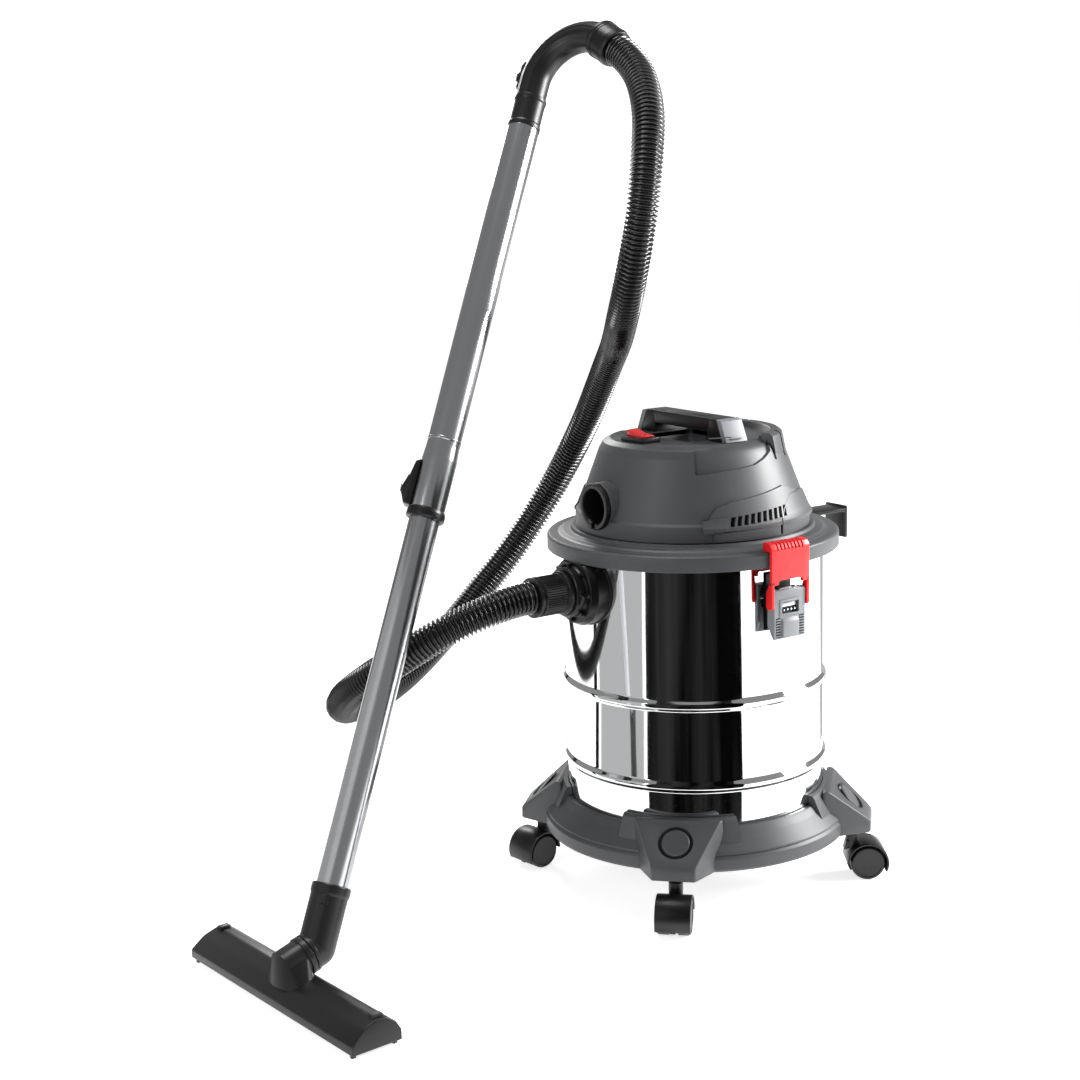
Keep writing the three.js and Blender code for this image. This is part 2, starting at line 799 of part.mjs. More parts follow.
function makeFan() {
  const low = lid.topZ + 2;
  const { housingRadius, height, impellerRadius, motorRadius, motorHeight } = fan;
  const high = low + height;
  const housing = turned([
    [20, low],
    [housingRadius, low],
    [housingRadius, high - 9],
    [housingRadius - 2.5, high - 9],
    [housingRadius - 2.5, low + 2.5],
    [20, low + 2.5],
  ], 32);
  const foot = ring(lid.neckRadius + 14, lid.neckRadius + 8, lid.topZ + GAP, low + 1, 32);
  addPart("fan_housing", housing.add(foot), finish.black);
  const wheelLow = low + 6;
  const wheel = turned([
    [0, wheelLow],
    [impellerRadius, wheelLow],
    [impellerRadius, wheelLow + 12],
    [12, wheelLow + 16],
    [4, wheelLow + 17],
    [4, high + 22],
    [0, high + 22],
  ], 24);
  addPart("impeller", wheel, finish.pin);
  const motorLow = high - 8 + GAP;
  const motor = turned([
    [4 + RUNNING, motorLow],
    [housingRadius, motorLow],
    [housingRadius, motorLow + 3],
    [motorRadius, motorLow + 6],
    [motorRadius, motorLow + motorHeight - 6],
    [motorRadius - 10, motorLow + motorHeight],
    [0, motorLow + motorHeight],
    [0, high + 22 + RUNNING],
    [4 + RUNNING, high + 22 + RUNNING],
  ], 24);
  addPart("motor", motor, finish.copper);
}

function makeFilter() {
  const { cageRadius, cageLength, ballRadius, radius, thickness } = filter;
  const top = lid.topZ - lid.plate - GAP;
  const bottom = top - cageLength;
  const wall = 2.4;
  const shell = turned([
    [0, bottom],
    [cageRadius, bottom],
    [cageRadius, top - 4],
    [lid.neckRadius + 10, top - 4],
    [lid.neckRadius + 10, top],
    [cageRadius - wall, top],
    [cageRadius - wall, bottom + wall],
    [0, bottom + wall],
  ], 32);
  const windows = [0, 60, 120].map((turn) =>
    aboutZ(block(-60, 60, -9, 9, bottom + 26, top - 20), turn));
  addPart("float_cage", cut(shell, windows), finish.black);
  const ballZ = bottom + wall + GAP + ballRadius;
  addPart("float_ball", ball(ballRadius, 0, 0, ballZ, 20), finish.lightGrey);
  const sleeve = ring(radius, radius - thickness, bottom, top - 4 - GAP, 32);
  addPart("filter_sleeve", sleeve, finish.foam);
  const capLow = bottom - GAP - 3;
  const retainer = turned([
    [cageRadius + 4, capLow],
    [radius + 4, capLow],
    [radius + 4, bottom + 10],
    [radius + GAP, bottom + 10],
    [radius + GAP, bottom - GAP],
    [cageRadius + 4, bottom - GAP],
  ], 32);
  addPart("filter_retainer", retainer, finish.black);
}

function makeCordHook() {
  const { reach, width, wall, plateHeight, armHeight } = cordHook;
  const top = lid.channelZ + 3;
  const start = lid.radius + GAP;
  const arm = block(-width / 2, width / 2, start, reach, top - wall, top);
  const plate = block(-width / 2, width / 2, reach - wall, reach, top - plateHeight, top + 3);
  const foot = block(-width / 2, width / 2, start, start + wall, top - armHeight, top);
  addPart("cord_hook", join([arm, plate, foot]), finish.black);
  const rearR = cover.bottomRadius;
  const boss = rod(9, rearR - 6, rearR + 8, 20, 7).rotate([-90, 0, 0]);
  const channel = rod(4, rearR - 20, rearR + 20, 16).rotate([-90, 0, 0]);
  const outside = turned([...coverOutline(-GAP), [0, cover.bottomZ]], ROUND);
  const gland = boss.translate([0, 0, cover.bottomZ + 11]).subtract(outside);
  addPart("cord_gland", gland.subtract(channel.translate([0, 0, cover.bottomZ + 11])), finish.rubber);
}

// ---- Latches ------------------------------------------------------------------------------------

// Each latch is made on the +X side: x is the distance from the drum's axis.
function latchBracket() {
  const { pinR, pinZ, bracketWidth, bracketBelow, bracketAbove, bracketPlate, eyeRadius } = latch;
  const half = bracketWidth / 2;
  const face = drum.radius + GAP + bracketPlate;
  const tall = ring(face + 40, drum.radius + GAP, pinZ - bracketBelow, pinZ + bracketAbove, ROUND);
  const plate = tall.intersect(block(drum.radius - 15, face, -half, half, 0, 600));
  const ears = [-13, 9].map((y) => {
    const outline = [
      [face - 1.5, pinZ - 30],
      [pinR - 3, pinZ - 12],
      [pinR + eyeRadius * 0.7, pinZ - eyeRadius * 0.7],
      [pinR + eyeRadius, pinZ],
      [pinR + eyeRadius * 0.7, pinZ + eyeRadius * 0.7],
      [pinR, pinZ + eyeRadius],
      [pinR - eyeRadius * 0.7, pinZ + eyeRadius * 0.6],
      [face - 1.5, pinZ - 5],
    ];
    return slab(outline, y, y + 4);
  });
  const pinEnd = latch.leverWidth / 2 - 1;
  const pin = rod(latch.pinRadius, -pinEnd, pinEnd, 12).rotate([90, 0, 0]).translate([pinR, 0, pinZ]);
  return join([plate, ...ears, pin]);
}

function latchLever() {
  const { pinR, pinZ, leverWidth, leverLength, leverTop, plate, plateOffset } = latch;
  const half = leverWidth / 2;
  const inside = pinR + plateOffset;
  const outside = inside + plate;
  const low = pinZ - leverLength;
  const high = pinZ + leverTop;
  const face = slab([
    [inside, low + 3],
    [inside + 2, low],
    [outside, low],
    [outside, high - 1],
    [outside - 1, high],
    [inside, high],
  ], -half, half);
  const walls = [-half, half - 4].map((y) => slab([
    [pinR - 4, pinZ - leverLength + 14],
    [inside + 1, low],
    [inside + 1, high],
    [pinR - 3, high],
    [pinR - 4, high - 2],
  ], y, y + 4));
  const window = block(inside - 1, outside + 1, -12, 12, pinZ - 25, pinZ - 12);
  const pinHole = rod(latch.pinRadius + RUNNING, -half, half, 12).rotate([90, 0, 0]);
  const [dx, dz] = latch.hookPin;
  const crossPin = rod(latch.pinRadius, -half + 1, half - 1, 12).rotate([90, 0, 0]);
  const hookHole = rod(latch.pinRadius + RUNNING, half - 3.2, half + 1, 12).rotate([90, 0, 0]);
  const body = cut(join([face, ...walls]), [window, pinHole.translate([pinR, 0, pinZ])]);
  const barred = body.add(crossPin.translate([pinR + dx, 0, pinZ + dz]));
  return cut(barred, [hookHole, hookHole.mirror([0, 1, 0])].map((hole) =>
    hole.translate([pinR + dx, 0, pinZ + dz])));
}

function latchHook() {
  const { pinR, pinZ, hookPin, hookWidth, legWidth, hookPlate, hookLip, leverWidth } = latch;
  const half = hookWidth / 2;
  const x = pinR + hookPin[0];
  const z = pinZ + hookPin[1];
  const face = lid.radius + 0.8;
  const lipZ = lid.channelZ + lid.edge + RUNNING;
  const low = pinZ + 8;
  const leg = [
    [x - 4, z],
    [x - 2.8, z - 4],
    [x, z - 5.5],
    [face + hookPlate - 2.5, z - 4.4],
    [face + hookPlate, z - 1],
    [face + hookPlate, low + 3],
    [face, low + 3],
    [x - 3, z + 14],
    [x - 4, z + 8],
  ];
  const legs = [-half, half - legWidth].map((y) => slab(leg, y, y + legWidth));
  const front = slab([
    [face, low],
    [face + hookPlate, low],
    [face + hookPlate, lipZ + 4],
    [face + hookPlate - 4, lipZ + 9],
    [face - hookLip, lipZ + 10],
    [face - hookLip - 1, lipZ + 2],
    [face - hookLip + 2, lipZ],
    [face, lipZ],
  ], -half, half);
  const reach = half - legWidth - (leverWidth / 2 - 3.2) - RUNNING + 1;
  const stub = rod(latch.pinRadius, half - legWidth - reach + 1, half - 1, 12).rotate([90, 0, 0]);
  const stubs = [stub, stub.mirror([0, 1, 0])].map((pin) => pin.translate([x, 0, z]));
  return join([front, ...legs, ...stubs]);
}

function makeLatches() {
  [["right", 0], ["left", 180]].forEach(([side, turn]) => {
    const place = new THREE.Group();
    place.rotation.z = radians(turn);
    rig.add(place);
    addPart(`latch_${side}_bracket`, latchBracket(), finish.black, place);
    addPart(`latch_${side}_lever`, latchLever(), finish.lightGrey, place);
    addPart(`latch_${side}_hook`, latchHook(), finish.red, place);
  });
}

// ---- Wand ---------------------------------------------------------------------------------------

const foot = new THREE.Vector3(...wand.foot);
const up = new THREE.Vector3(...wand.direction).normalize();
const onWand = (distance) => foot.clone().addScaledVector(up, distance);
const side = new THREE.Vector3(...handle.bendDirection);
side.addScaledVector(up, -side.dot(up)).normalize();

// Makes wand pieces about Z, with +X towards the bend of the handle, and stands them on the wand.
function alongWand(shape) {
  const across = new THREE.Vector3().crossVectors(up, side);
  const matrix = new THREE.Matrix4().makeBasis(side, across, up).setPosition(foot);
  return shape.transform(matrix.elements);
}

function makeTubes() {
  const { lowerRadius, upperRadius, socketRadius, wall, collarAt, collarLength } = wand;
  const { collarRadius, socketEnd, taper, overlap, insert, length } = wand;
  const lower = ring(lowerRadius, lowerRadius - wall, -insert, collarAt + overlap, 24);
  addPart("lower_tube", alongWand(lower), finish.tube);
  const start = collarAt + collarLength + GAP;
  const upper = turned([
    [socketRadius - wall, start],
    [socketRadius, start],
    [socketRadius, socketEnd],
    [upperRadius, socketEnd + taper],
    [upperRadius, length],
    [upperRadius - wall, length],
    [upperRadius - wall, socketEnd + taper],
    [socketRadius - wall, socketEnd],
  ], 24);
  addPart("upper_tube", alongWand(upper), finish.tube);
  const collar = turned([
    [lowerRadius + RUNNING, collarAt],
    [collarRadius - 1, collarAt],
    [collarRadius, collarAt + 1],
    [collarRadius, collarAt + collarLength - 1],
    [collarRadius - 1, collarAt + collarLength],
    [lowerRadius + RUNNING, collarAt + collarLength],
  ], 24);
  addPart("tube_collar", alongWand(collar), finish.black);

  const near = socketRadius + GAP;
  const housing = slab([
    [-near - 1, start],
    [-near - 9, start + 4],
    [-near - 12, start + 14],
    [-near - 5, start + 50],
    [-near - 1, start + 53],
  ], -9, 9).subtract(rod(near, start - 5, start + 60, 24));
  const pocket = slab([
    [-near - 2.5, start + 9],
    [-near - 30, start + 9],
    [-near - 30, start + 42],
    [-near - 2.5, start + 42],
  ], -6.5, 6.5);
  addPart("tube_latch_housing", alongWand(aboutZ(housing.subtract(pocket), wand.latchTurn)), finish.black);
  const button = slab([
    [-near - 3, start + 10],
    [-near - 14, start + 14],
    [-near - 13.5, start + 18],
    [-near - 8.5, start + 34],
    [-near - 3, start + 35],
  ], -6, 6);
  addPart("tube_latch_button", alongWand(aboutZ(button, wand.latchTurn)), finish.lightGrey);
}

// ---- Handle -------------------------------------------------------------------------------------

const bendStart = wand.length + handle.straight;

function handlePoint(angle) {
  const centre = onWand(bendStart).addScaledVector(side, handle.bendRadius);
  return centre
    .addScaledVector(side, -handle.bendRadius * Math.cos(angle))
    .addScaledVector(up, handle.bendRadius * Math.sin(angle));
}

const cuffDirection = up
  .clone()
  .multiplyScalar(Math.cos(handle.bendAngle))
  .addScaledVector(side, Math.sin(handle.bendAngle));

const cuffEnd = handlePoint(handle.bendAngle).addScaledVector(
  cuffDirection,
  handle.cuffLength - handle.cuffOverlap,
);

// The middle of the grip: a straight piece on the wand's line, the bend, and a straight piece after it.
class GripCurve extends THREE.Curve {
  constructor(before, after) {
    super();
    this.before = before;
    this.after = after;
  }

  getPoint(share, target = new THREE.Vector3()) {
    const bend = handle.bendRadius * handle.bendAngle;
    const straight = handle.straight - this.before;
    const distance = share * (straight + bend + this.after) - straight;
    if (distance < 0) return target.copy(onWand(bendStart + distance));
    if (distance < bend) return target.copy(handlePoint(distance / handle.bendRadius));
    return target.copy(handlePoint(handle.bendAngle)).addScaledVector(cuffDirection, distance - bend);
  }
}

function makeHandle() {
  const { plug, sleeveRadius, sleeveLength, radius, bore, cuffRadius, cuffLength } = handle;
  const { length, upperRadius, wall } = wand;
  const sleeve = turned([
    [bore, length - plug],
    [upperRadius - wall - GAP, length - plug],
    [upperRadius - wall - GAP, length + GAP],
    [sleeveRadius, length + GAP],
    [sleeveRadius, length + sleeveLength],
    [bore, length + sleeveLength],
  ], 24);
  addPart("handle_sleeve", alongWand(sleeve), finish.black);

  const outer = sweep(new GripCurve(sleeveLength + GAP, 0), radius, 16, 16);
  const inner = sweep(new GripCurve(sleeveLength - 4, 8), bore, 10, 16);
  const seatStart = length + handle.straight - 6;
  const pad = alongWand(slab([
    [-radius + 3, seatStart - 4],
    [-radius - 1.6, seatStart],
    [-radius - 1.6, seatStart + handle.sliderLength - 8],
    [-radius + 3, seatStart + handle.sliderLength - 4],
  ], -8, 8));
  addPart("handle_grip", cut(outer.add(pad), [inner]), finish.black);

  const slider = slab([
    [-radius - 1.6 - GAP, seatStart + 2],
    [-radius - 7, seatStart + 3],
    [-radius - 5.5, seatStart + 9],
    [-radius - 7, seatStart + 15],
    [-radius - 5, seatStart + 20],
    [-radius - 1.6 - GAP, seatStart + 21],
  ], -6.5, 6.5);
  addPart("air_slider", alongWand(slider), finish.black);

  const cuffRoom = 2; // the grip still bends inside the cuff
  const cuffOutline = [
    [radius + cuffRoom, 0],
    [cuffRadius - 1.5, 0],
    [cuffRadius, 2],
    [cuffRadius, cuffLength - 6],
    [cuffRadius - 1.5, cuffLength],
    [bore, cuffLength],
    [bore, handle.cuffOverlap + GAP],
    [radius + cuffRoom, handle.cuffOverlap + GAP],
  ];
  const start = cuffEnd.clone().addScaledVector(cuffDirection, -cuffLength);
  addPart("handle_cuff", placed(turned(cuffOutline, 24), start, cuffDirection), finish.black);
}

function makeHose() {
  const start = cuffEnd.clone().addScaledVector(cuffDirection, GAP);
  const end = new THREE.Vector3(0, -inlet.collarY - GAP - cuff.length - GAP, inlet.z);
  const leaving = start.clone().addScaledVector(cuffDirection, 12);
  const arriving = end.clone().add(new THREE.Vector3(0, -12, 0));
  const between = hosePoints.map((point) => new THREE.Vector3(...point));
  const route = new THREE.CatmullRomCurve3([start, leaving, ...between, arriving, end]);
  addPart("hose", sweep(route, hoseDiameter / 2, 10, 48), finish.hose);
}

// ---- Floor nozzle -------------------------------------------------------------------------------

const pivot = onWand(-nozzle.pivot);
const stubDirection = new THREE.Vector3(
  0,
  Math.cos(radians(nozzle.stubTilt)),
  Math.sin(radians(nozzle.stubTilt)),
).applyAxisAngle(new THREE.Vector3(0, 0, 1), radians(nozzle.turn));

// A bend of one radius: a ball at the pivot, a piece back along the stub and a piece up the wand.
function elbowSolid(radius, back, reach, sides) {
  const stub = placed(rod(radius, -back, 0, sides), pivot, stubDirection);
  const rise = placed(rod(radius, 0, reach, sides), pivot, up);
  return join([stub, rise, ball(radius, 0, 0, 0, sides).translate(pivot.toArray())]);
}

function makeElbow() {
  const radius = nozzle.stubRadius;
  const bend = elbowSolid(radius, nozzle.seam, nozzle.pivot - 30, 16);
  const hollow = elbowSolid(nozzle.bore, nozzle.seam + 8, nozzle.pivot - 20, 12);
  const behind = placed(rod(60, -80, -nozzle.seam, 16), pivot, stubDirection);
  const sleeve = alongWand(turned([
    [nozzle.bore, -32],
    [radius, -32],
    [radius, -8],
    [radius + 1, -6],
    [radius + 1, 0],
    [wand.lowerRadius + GAP, 0],
    [wand.lowerRadius + GAP, -wand.insert - GAP],
    [nozzle.bore, -wand.insert - GAP],
  ], 24));
  const opening = alongWand(rod(wand.lowerRadius + GAP, -wand.insert - GAP, 5, 24));
  const body = cut(bend.add(sleeve), [hollow, behind, opening]);
  addPart("nozzle_elbow", body, finish.black);
}

function nozzleOutline() {
  const half = nozzle.width / 2;
  const top = nozzle.height;
  return [
    [-half, 5],
    [half, 5],
    [half, 15],
    [half - 5, 24],
    [half - 14, top - 1],
    [half - 22, top],
    [-half + 16, top - 8],
    [-half, 13],
  ];
}

// The nozzle is made along X with its middle at the origin, then turned and moved to its place.
function nozzlePlace(shape) {
  const [x, y] = nozzle.centre;
  return aboutZ(shape, nozzle.turn).translate([x, y, 0]);
}

function makeNozzle() {
  const { length, width, height, wall, stripWidth, stripInset, stripHeight } = nozzle;
  const half = length / 2;
  const frontView = slab([
    [-half, 0],
    [half, 0],
    [half, 12],
    [half - nozzle.endBevel, height + 2],
    [-half + nozzle.endBevel, height + 2],
    [-half, 12],
  ], -width, width);
  const bar = slab(nozzleOutline(), -half, half).rotate([0, 0, 90]);
  const outside = bar.intersect(frontView);
  const inside = slab([
    [-width / 2 + wall, 0],
    [width / 2 - wall, 0],
    [width / 2 - wall, 14],
    [width / 2 - 15, height - wall - 3],
    [-width / 2 + 17, height - 8 - wall - 2],
    [-width / 2 + wall, 12],
  ], -length / 2 + 16, length / 2 - 16).rotate([0, 0, 90]);
  const shell = nozzlePlace(outside.subtract(inside));
  const start = pivot.clone().addScaledVector(stubDirection, -nozzle.seam - RUNNING);
  const back = stubDirection.clone().negate();
  const stub = placed(rod(nozzle.stubRadius, 0, nozzle.stubLength, 20), start, back);
  const mouth = pivot.clone().addScaledVector(stubDirection, 5);
  const passage = placed(rod(nozzle.bore, 0, nozzle.stubLength + 12, 16), mouth, back);
  const cavity = nozzlePlace(inside);
  const stubShell = stub.subtract(cavity).intersect(block(-400, 400, -800, 0, 12, 200));
  const hinge = [shell, stubShell];
  addPart("nozzle_body", join(hinge).subtract(passage), finish.black);

  [["front", -1], ["rear", 1]].forEach(([name, way]) => {
    const outer = way * (width / 2 - wall - stripInset);
    const inner = outer - way * stripWidth;
    const strip = block(
      -length / 2 + 17, length / 2 - 17,
      Math.min(outer, inner), Math.max(outer, inner),
      0, stripHeight,
    );
    addPart(`nozzle_strip_${name}`, nozzlePlace(strip), finish.rubber);
  });
}

// ---- Assembly -----------------------------------------------------------------------------------

makeDrum();
makeInlet();
makeConnectorCuff();
makeBase();
makeCastors();
makeLid();
makeCover();
makeCarryHandle();
makeSwitch();
makeFan();
makeFilter();
makeCordHook();
makeLatches();
makeTubes();
makeHandle();
makeHose();
makeElbow();
makeNozzle();

// The origin goes on the floor, below the middle of everything but the hose.
rig.updateMatrixWorld(true);
const bounds = new THREE.Box3();
rig.traverse((piece) => {
  if (piece.isMesh && piece.name !== "hose") bounds.expandByObject(piece, true);
});
const middle = bounds.getCenter(new THREE.Vector3());
rig.position.set(-middle.x, -middle.y, 0);

export default rig;
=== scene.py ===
"""Wet and dry drum vacuum: the looks of its drum, castor base, motor head, latches, hose, tube and nozzle.

Shapes are made in millimetres about the drum's axis, with the hose inlet towards -Y, and are moved to the
frame's place in metres when a piece is finished.
"""
import json
import math

import bmesh
import bpy
from bpy.props import FloatProperty, IntProperty, PointerProperty, StringProperty
from mathutils import Matrix, Vector


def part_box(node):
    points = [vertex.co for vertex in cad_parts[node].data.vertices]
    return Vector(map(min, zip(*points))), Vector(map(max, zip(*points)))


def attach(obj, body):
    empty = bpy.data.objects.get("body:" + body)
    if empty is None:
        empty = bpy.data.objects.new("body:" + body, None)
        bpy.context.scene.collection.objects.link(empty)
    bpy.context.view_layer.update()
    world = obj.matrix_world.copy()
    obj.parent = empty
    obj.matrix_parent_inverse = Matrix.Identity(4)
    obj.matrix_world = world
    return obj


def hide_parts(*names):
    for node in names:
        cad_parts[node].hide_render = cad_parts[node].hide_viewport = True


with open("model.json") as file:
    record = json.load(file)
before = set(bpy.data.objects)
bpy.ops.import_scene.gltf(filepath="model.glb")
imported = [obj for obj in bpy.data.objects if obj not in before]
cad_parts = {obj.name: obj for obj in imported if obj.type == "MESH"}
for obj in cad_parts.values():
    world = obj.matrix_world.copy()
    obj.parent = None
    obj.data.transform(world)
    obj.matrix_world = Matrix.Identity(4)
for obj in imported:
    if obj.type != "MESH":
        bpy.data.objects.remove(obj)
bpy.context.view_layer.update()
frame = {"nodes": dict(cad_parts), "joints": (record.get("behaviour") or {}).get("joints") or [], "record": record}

bl_info = {
    "name": "Drum Vacuum",
    "version": (1, 0, 0),
    "blender": (4, 5, 0),
    "location": "3D View > Sidebar > Vacuum",
    "description": "Builds a wet and dry drum vacuum around its CAD frame",
    "category": "Mesh",
}

# ---- Frame --------------------------------------------------------------------------------------

MM = 0.001
TAU = 2 * math.pi
drum_low, drum_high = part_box("drum")
AXIS = Vector(((drum_low.x + drum_high.x) / 2, (drum_low.y + drum_high.y) / 2, 0))
TO_FRAME = Matrix.Translation(AXIS) @ Matrix.Scale(MM, 4)
JOINTS = {joint["name"]: joint for joint in frame["joints"]}


def joint_place(name):
    """A joint's place in millimetres from the drum's axis."""
    return (Vector(JOINTS[name]["pos_m"]) - AXIS) / MM


def joint_axis(name):
    return Vector(JOINTS[name]["axis"]).normalized()


def height_of(node, top=True):
    low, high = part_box(node)
    return (high if top else low).z / MM


FLOOR_Z = height_of("drum", top=False)
RIM_Z = height_of("drum")
BASE_Z = height_of("castor_base", top=False)
LID_Z = height_of("lid_base")
COVER_Z = height_of("motor_cover", top=False)
COVER_TOP = height_of("motor_cover")
GRIP_TOP = height_of("carry_handle")
INLET_Z = (height_of("hose_connector") + height_of("hose_connector", top=False)) / 2
PORT_Z = (height_of("blower_port_ring") + height_of("blower_port_ring", top=False)) / 2
PORT_END = -(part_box("blower_port_ring")[0].y - AXIS.y) / MM
WAND_UP = joint_axis("tube_telescope")
PIVOT = joint_place("elbow_turn")
STUB = joint_axis("nozzle_turn")
FOOT = PIVOT + 65 * WAND_UP
BEND_SIDE = Vector((0.9277, 0.3715, 0.036))
BEND_SIDE = (BEND_SIDE - BEND_SIDE.dot(WAND_UP) * WAND_UP).normalized()


# ---- Materials ----------------------------------------------------------------------------------

def linear(hex_colour, alpha=1.0):
    """An sRGB hex colour as linear RGBA."""
    channels = [int(hex_colour[i:i + 2], 16) / 255 for i in (1, 3, 5)]
    curve = [c / 12.92 if c <= 0.04045 else ((c + 0.055) / 1.055) ** 2.4 for c in channels]
    return (*curve, alpha)


def add(tree, kind, settings=None, links=None):
    """Adds a node, sets its sockets and properties, and links its inputs."""
    node = tree.nodes.new(kind)
    for key, value in (settings or {}).items():
        if key in node.inputs:
            node.inputs[key].default_value = value
        else:
            setattr(node, key, value)
    for socket, source in (links or {}).items():
        tree.links.new(source, node.inputs[socket])
    return node


def blank(name, **settings):
    """A new material with one Principled shader."""
    material = bpy.data.materials.new(name)
    material.use_nodes = True
    tree = material.node_tree
    shader = tree.nodes["Principled BSDF"]
    for socket, value in settings.items():
        shader.inputs[socket.replace("_", " ")].default_value = value
    return material, tree, shader


def per_metre(size_mm):
    """A noise scale whose blotches are about this wide."""
    return 1 / (size_mm * MM)


def moulded(name, colour, light, roughness, grain, depth, coat=0.0, shine=0.4):
    """Injection moulded plastic: an even colour with slight flow marks, and the fine pitting that the
    spark-eroded mould leaves, drawn coarse enough to show."""
    material, tree, shader = blank(name, IOR=1.5, Specular_IOR_Level=shine, Coat_Weight=coat,
                                   Coat_Roughness=0.12)
    where = add(tree, "ShaderNodeTexCoord").outputs["Object"]
    flow = add(tree, "ShaderNodeTexNoise", {"Scale": per_metre(60), "Detail": 3.0}, {"Vector": where})
    tone = add(tree, "ShaderNodeMix", {"data_type": "RGBA"}, {"Factor": flow.outputs["Fac"]})
    colour_sockets = [socket for socket in tone.inputs if socket.type == "RGBA"]
    colour_sockets[0].default_value = linear(colour)
    colour_sockets[1].default_value = linear(light)
    mixed = [socket for socket in tone.outputs if socket.type == "RGBA"][0]
    tree.links.new(mixed, shader.inputs["Base Color"])
    pits = add(tree, "ShaderNodeTexNoise", {"Scale": per_metre(grain), "Detail": 2.0}, {"Vector": where})
    rough = add(tree, "ShaderNodeMapRange", {"To Min": roughness - 0.06, "To Max": roughness + 0.06},
                {"Value": flow.outputs["Fac"]})
    tree.links.new(rough.outputs["Result"], shader.inputs["Roughness"])
    bump = add(tree, "ShaderNodeBump", {"Strength": 0.5, "Distance": depth * MM},
               {"Height": pits.outputs["Fac"]})
    tree.links.new(bump.outputs["Normal"], shader.inputs["Normal"])
    return material


def mirror_stainless():
    """Polished stainless sheet: rolled, buffed to a mirror, with a trace of waviness and fine smudges."""
    material, tree, shader = blank("mirror_polished_stainless", Base_Color=linear("#E4E5E6"), Metallic=1.0)
    where = add(tree, "ShaderNodeTexCoord").outputs["Object"]
    smudge = add(tree, "ShaderNodeTexNoise", {"Scale": per_metre(25), "Detail": 5.0}, {"Vector": where})
    rough = add(tree, "ShaderNodeMapRange", {"To Min": 0.03, "To Max": 0.075},
                {"Value": smudge.outputs["Fac"]})
    tree.links.new(rough.outputs["Result"], shader.inputs["Roughness"])
    wave = add(tree, "ShaderNodeTexNoise", {"Scale": per_metre(90), "Detail": 1.0}, {"Vector": where})
    bump = add(tree, "ShaderNodeBump", {"Strength": 0.25, "Distance": 0.25 * MM},
               {"Height": wave.outputs["Fac"]})
    tree.links.new(bump.outputs["Normal"], shader.inputs["Normal"])
    return material


def chromed_tube():
    """Chromed steel tube: drawn lengthwise before plating, which leaves faint lines along it."""
    material, tree, shader = blank("chromed_drawn_tube", Base_Color=linear("#B9BABC"), Metallic=1.0)
    where = add(tree, "ShaderNodeTexCoord").outputs["Object"]
    turn = WAND_UP.to_track_quat("Z", "Y").inverted().to_euler()
    along = add(tree, "ShaderNodeMapping", {"Rotation": turn, "Scale": (1.0, 1.0, 1.0)}, {"Vector": where})
    long = add(tree, "ShaderNodeMapping", {"Scale": (1.0, 1.0, 0.01)}, {"Vector": along.outputs["Vector"]})
    lines = add(tree, "ShaderNodeTexNoise", {"Scale": per_metre(1.6), "Detail": 3.0},
                {"Vector": long.outputs["Vector"]})
    rough = add(tree, "ShaderNodeMapRange", {"To Min": 0.14, "To Max": 0.26},
                {"Value": lines.outputs["Fac"]})
    tree.links.new(rough.outputs["Result"], shader.inputs["Roughness"])
    bump = add(tree, "ShaderNodeBump", {"Strength": 0.2, "Distance": 0.03 * MM},
               {"Height": lines.outputs["Fac"]})
    tree.links.new(bump.outputs["Normal"], shader.inputs["Normal"])
    return material


def zinc_plate():
    """Bright zinc plate on turned steel: pale, a little blue, with a fine grain."""
    material, tree, shader = blank("zinc_plated_steel", Base_Color=linear("#B9BCC0"), Metallic=1.0)
    where = add(tree, "ShaderNodeTexCoord").outputs["Object"]
    grain = add(tree, "ShaderNodeTexNoise", {"Scale": per_metre(1.2), "Detail": 4.0}, {"Vector": where})
    rough = add(tree, "ShaderNodeMapRange", {"To Min": 0.22, "To Max": 0.42},
                {"Value": grain.outputs["Fac"]})
    tree.links.new(rough.outputs["Result"], shader.inputs["Roughness"])
    return material


def moulded_rubber():
    """Moulded black rubber: matt, with a dusty bloom in the hollows of its grain."""
    return moulded("moulded_rubber", "#151515", "#1D1D1D", 0.78, 0.9, 0.08)


def hose_eva():
    """Extruded EVA hose: deep black and glossy from the die."""
    return moulded("extruded_eva", "#0A0A0A", "#101011", 0.24, 1.4, 0.02, coat=0.35, shine=0.6)


def open_foam():
    """Open-cell filter foam: dark, with cells of about 1 mm."""
    material, tree, shader = blank("open_cell_foam", Base_Color=linear("#35383C"), Roughness=0.95)
    where = add(tree, "ShaderNodeTexCoord").outputs["Object"]
    cells = add(tree, "ShaderNodeTexVoronoi", {"Scale": per_metre(1.5)}, {"Vector": where})
    bump = add(tree, "ShaderNodeBump", {"Strength": 0.9, "Distance": 0.6 * MM},
               {"Height": cells.outputs["Distance"]})
    tree.links.new(bump.outputs["Normal"], shader.inputs["Normal"])
    return material


def copper_windings():
    """Lacquered copper windings, seen as fine turns round the motor."""
    material, tree, shader = blank("lacquered_copper", Base_Color=linear("#9A5B33"), Metallic=1.0)
    where = add(tree, "ShaderNodeTexCoord").outputs["Object"]
    turns = add(tree, "ShaderNodeTexWave", {"Scale": per_metre(4), "bands_direction": "Z"},
                {"Vector": where})
    rough = add(tree, "ShaderNodeMapRange", {"To Min": 0.3, "To Max": 0.5}, {"Value": turns.outputs["Fac"]})
    tree.links.new(rough.outputs["Result"], shader.inputs["Roughness"])
    return material


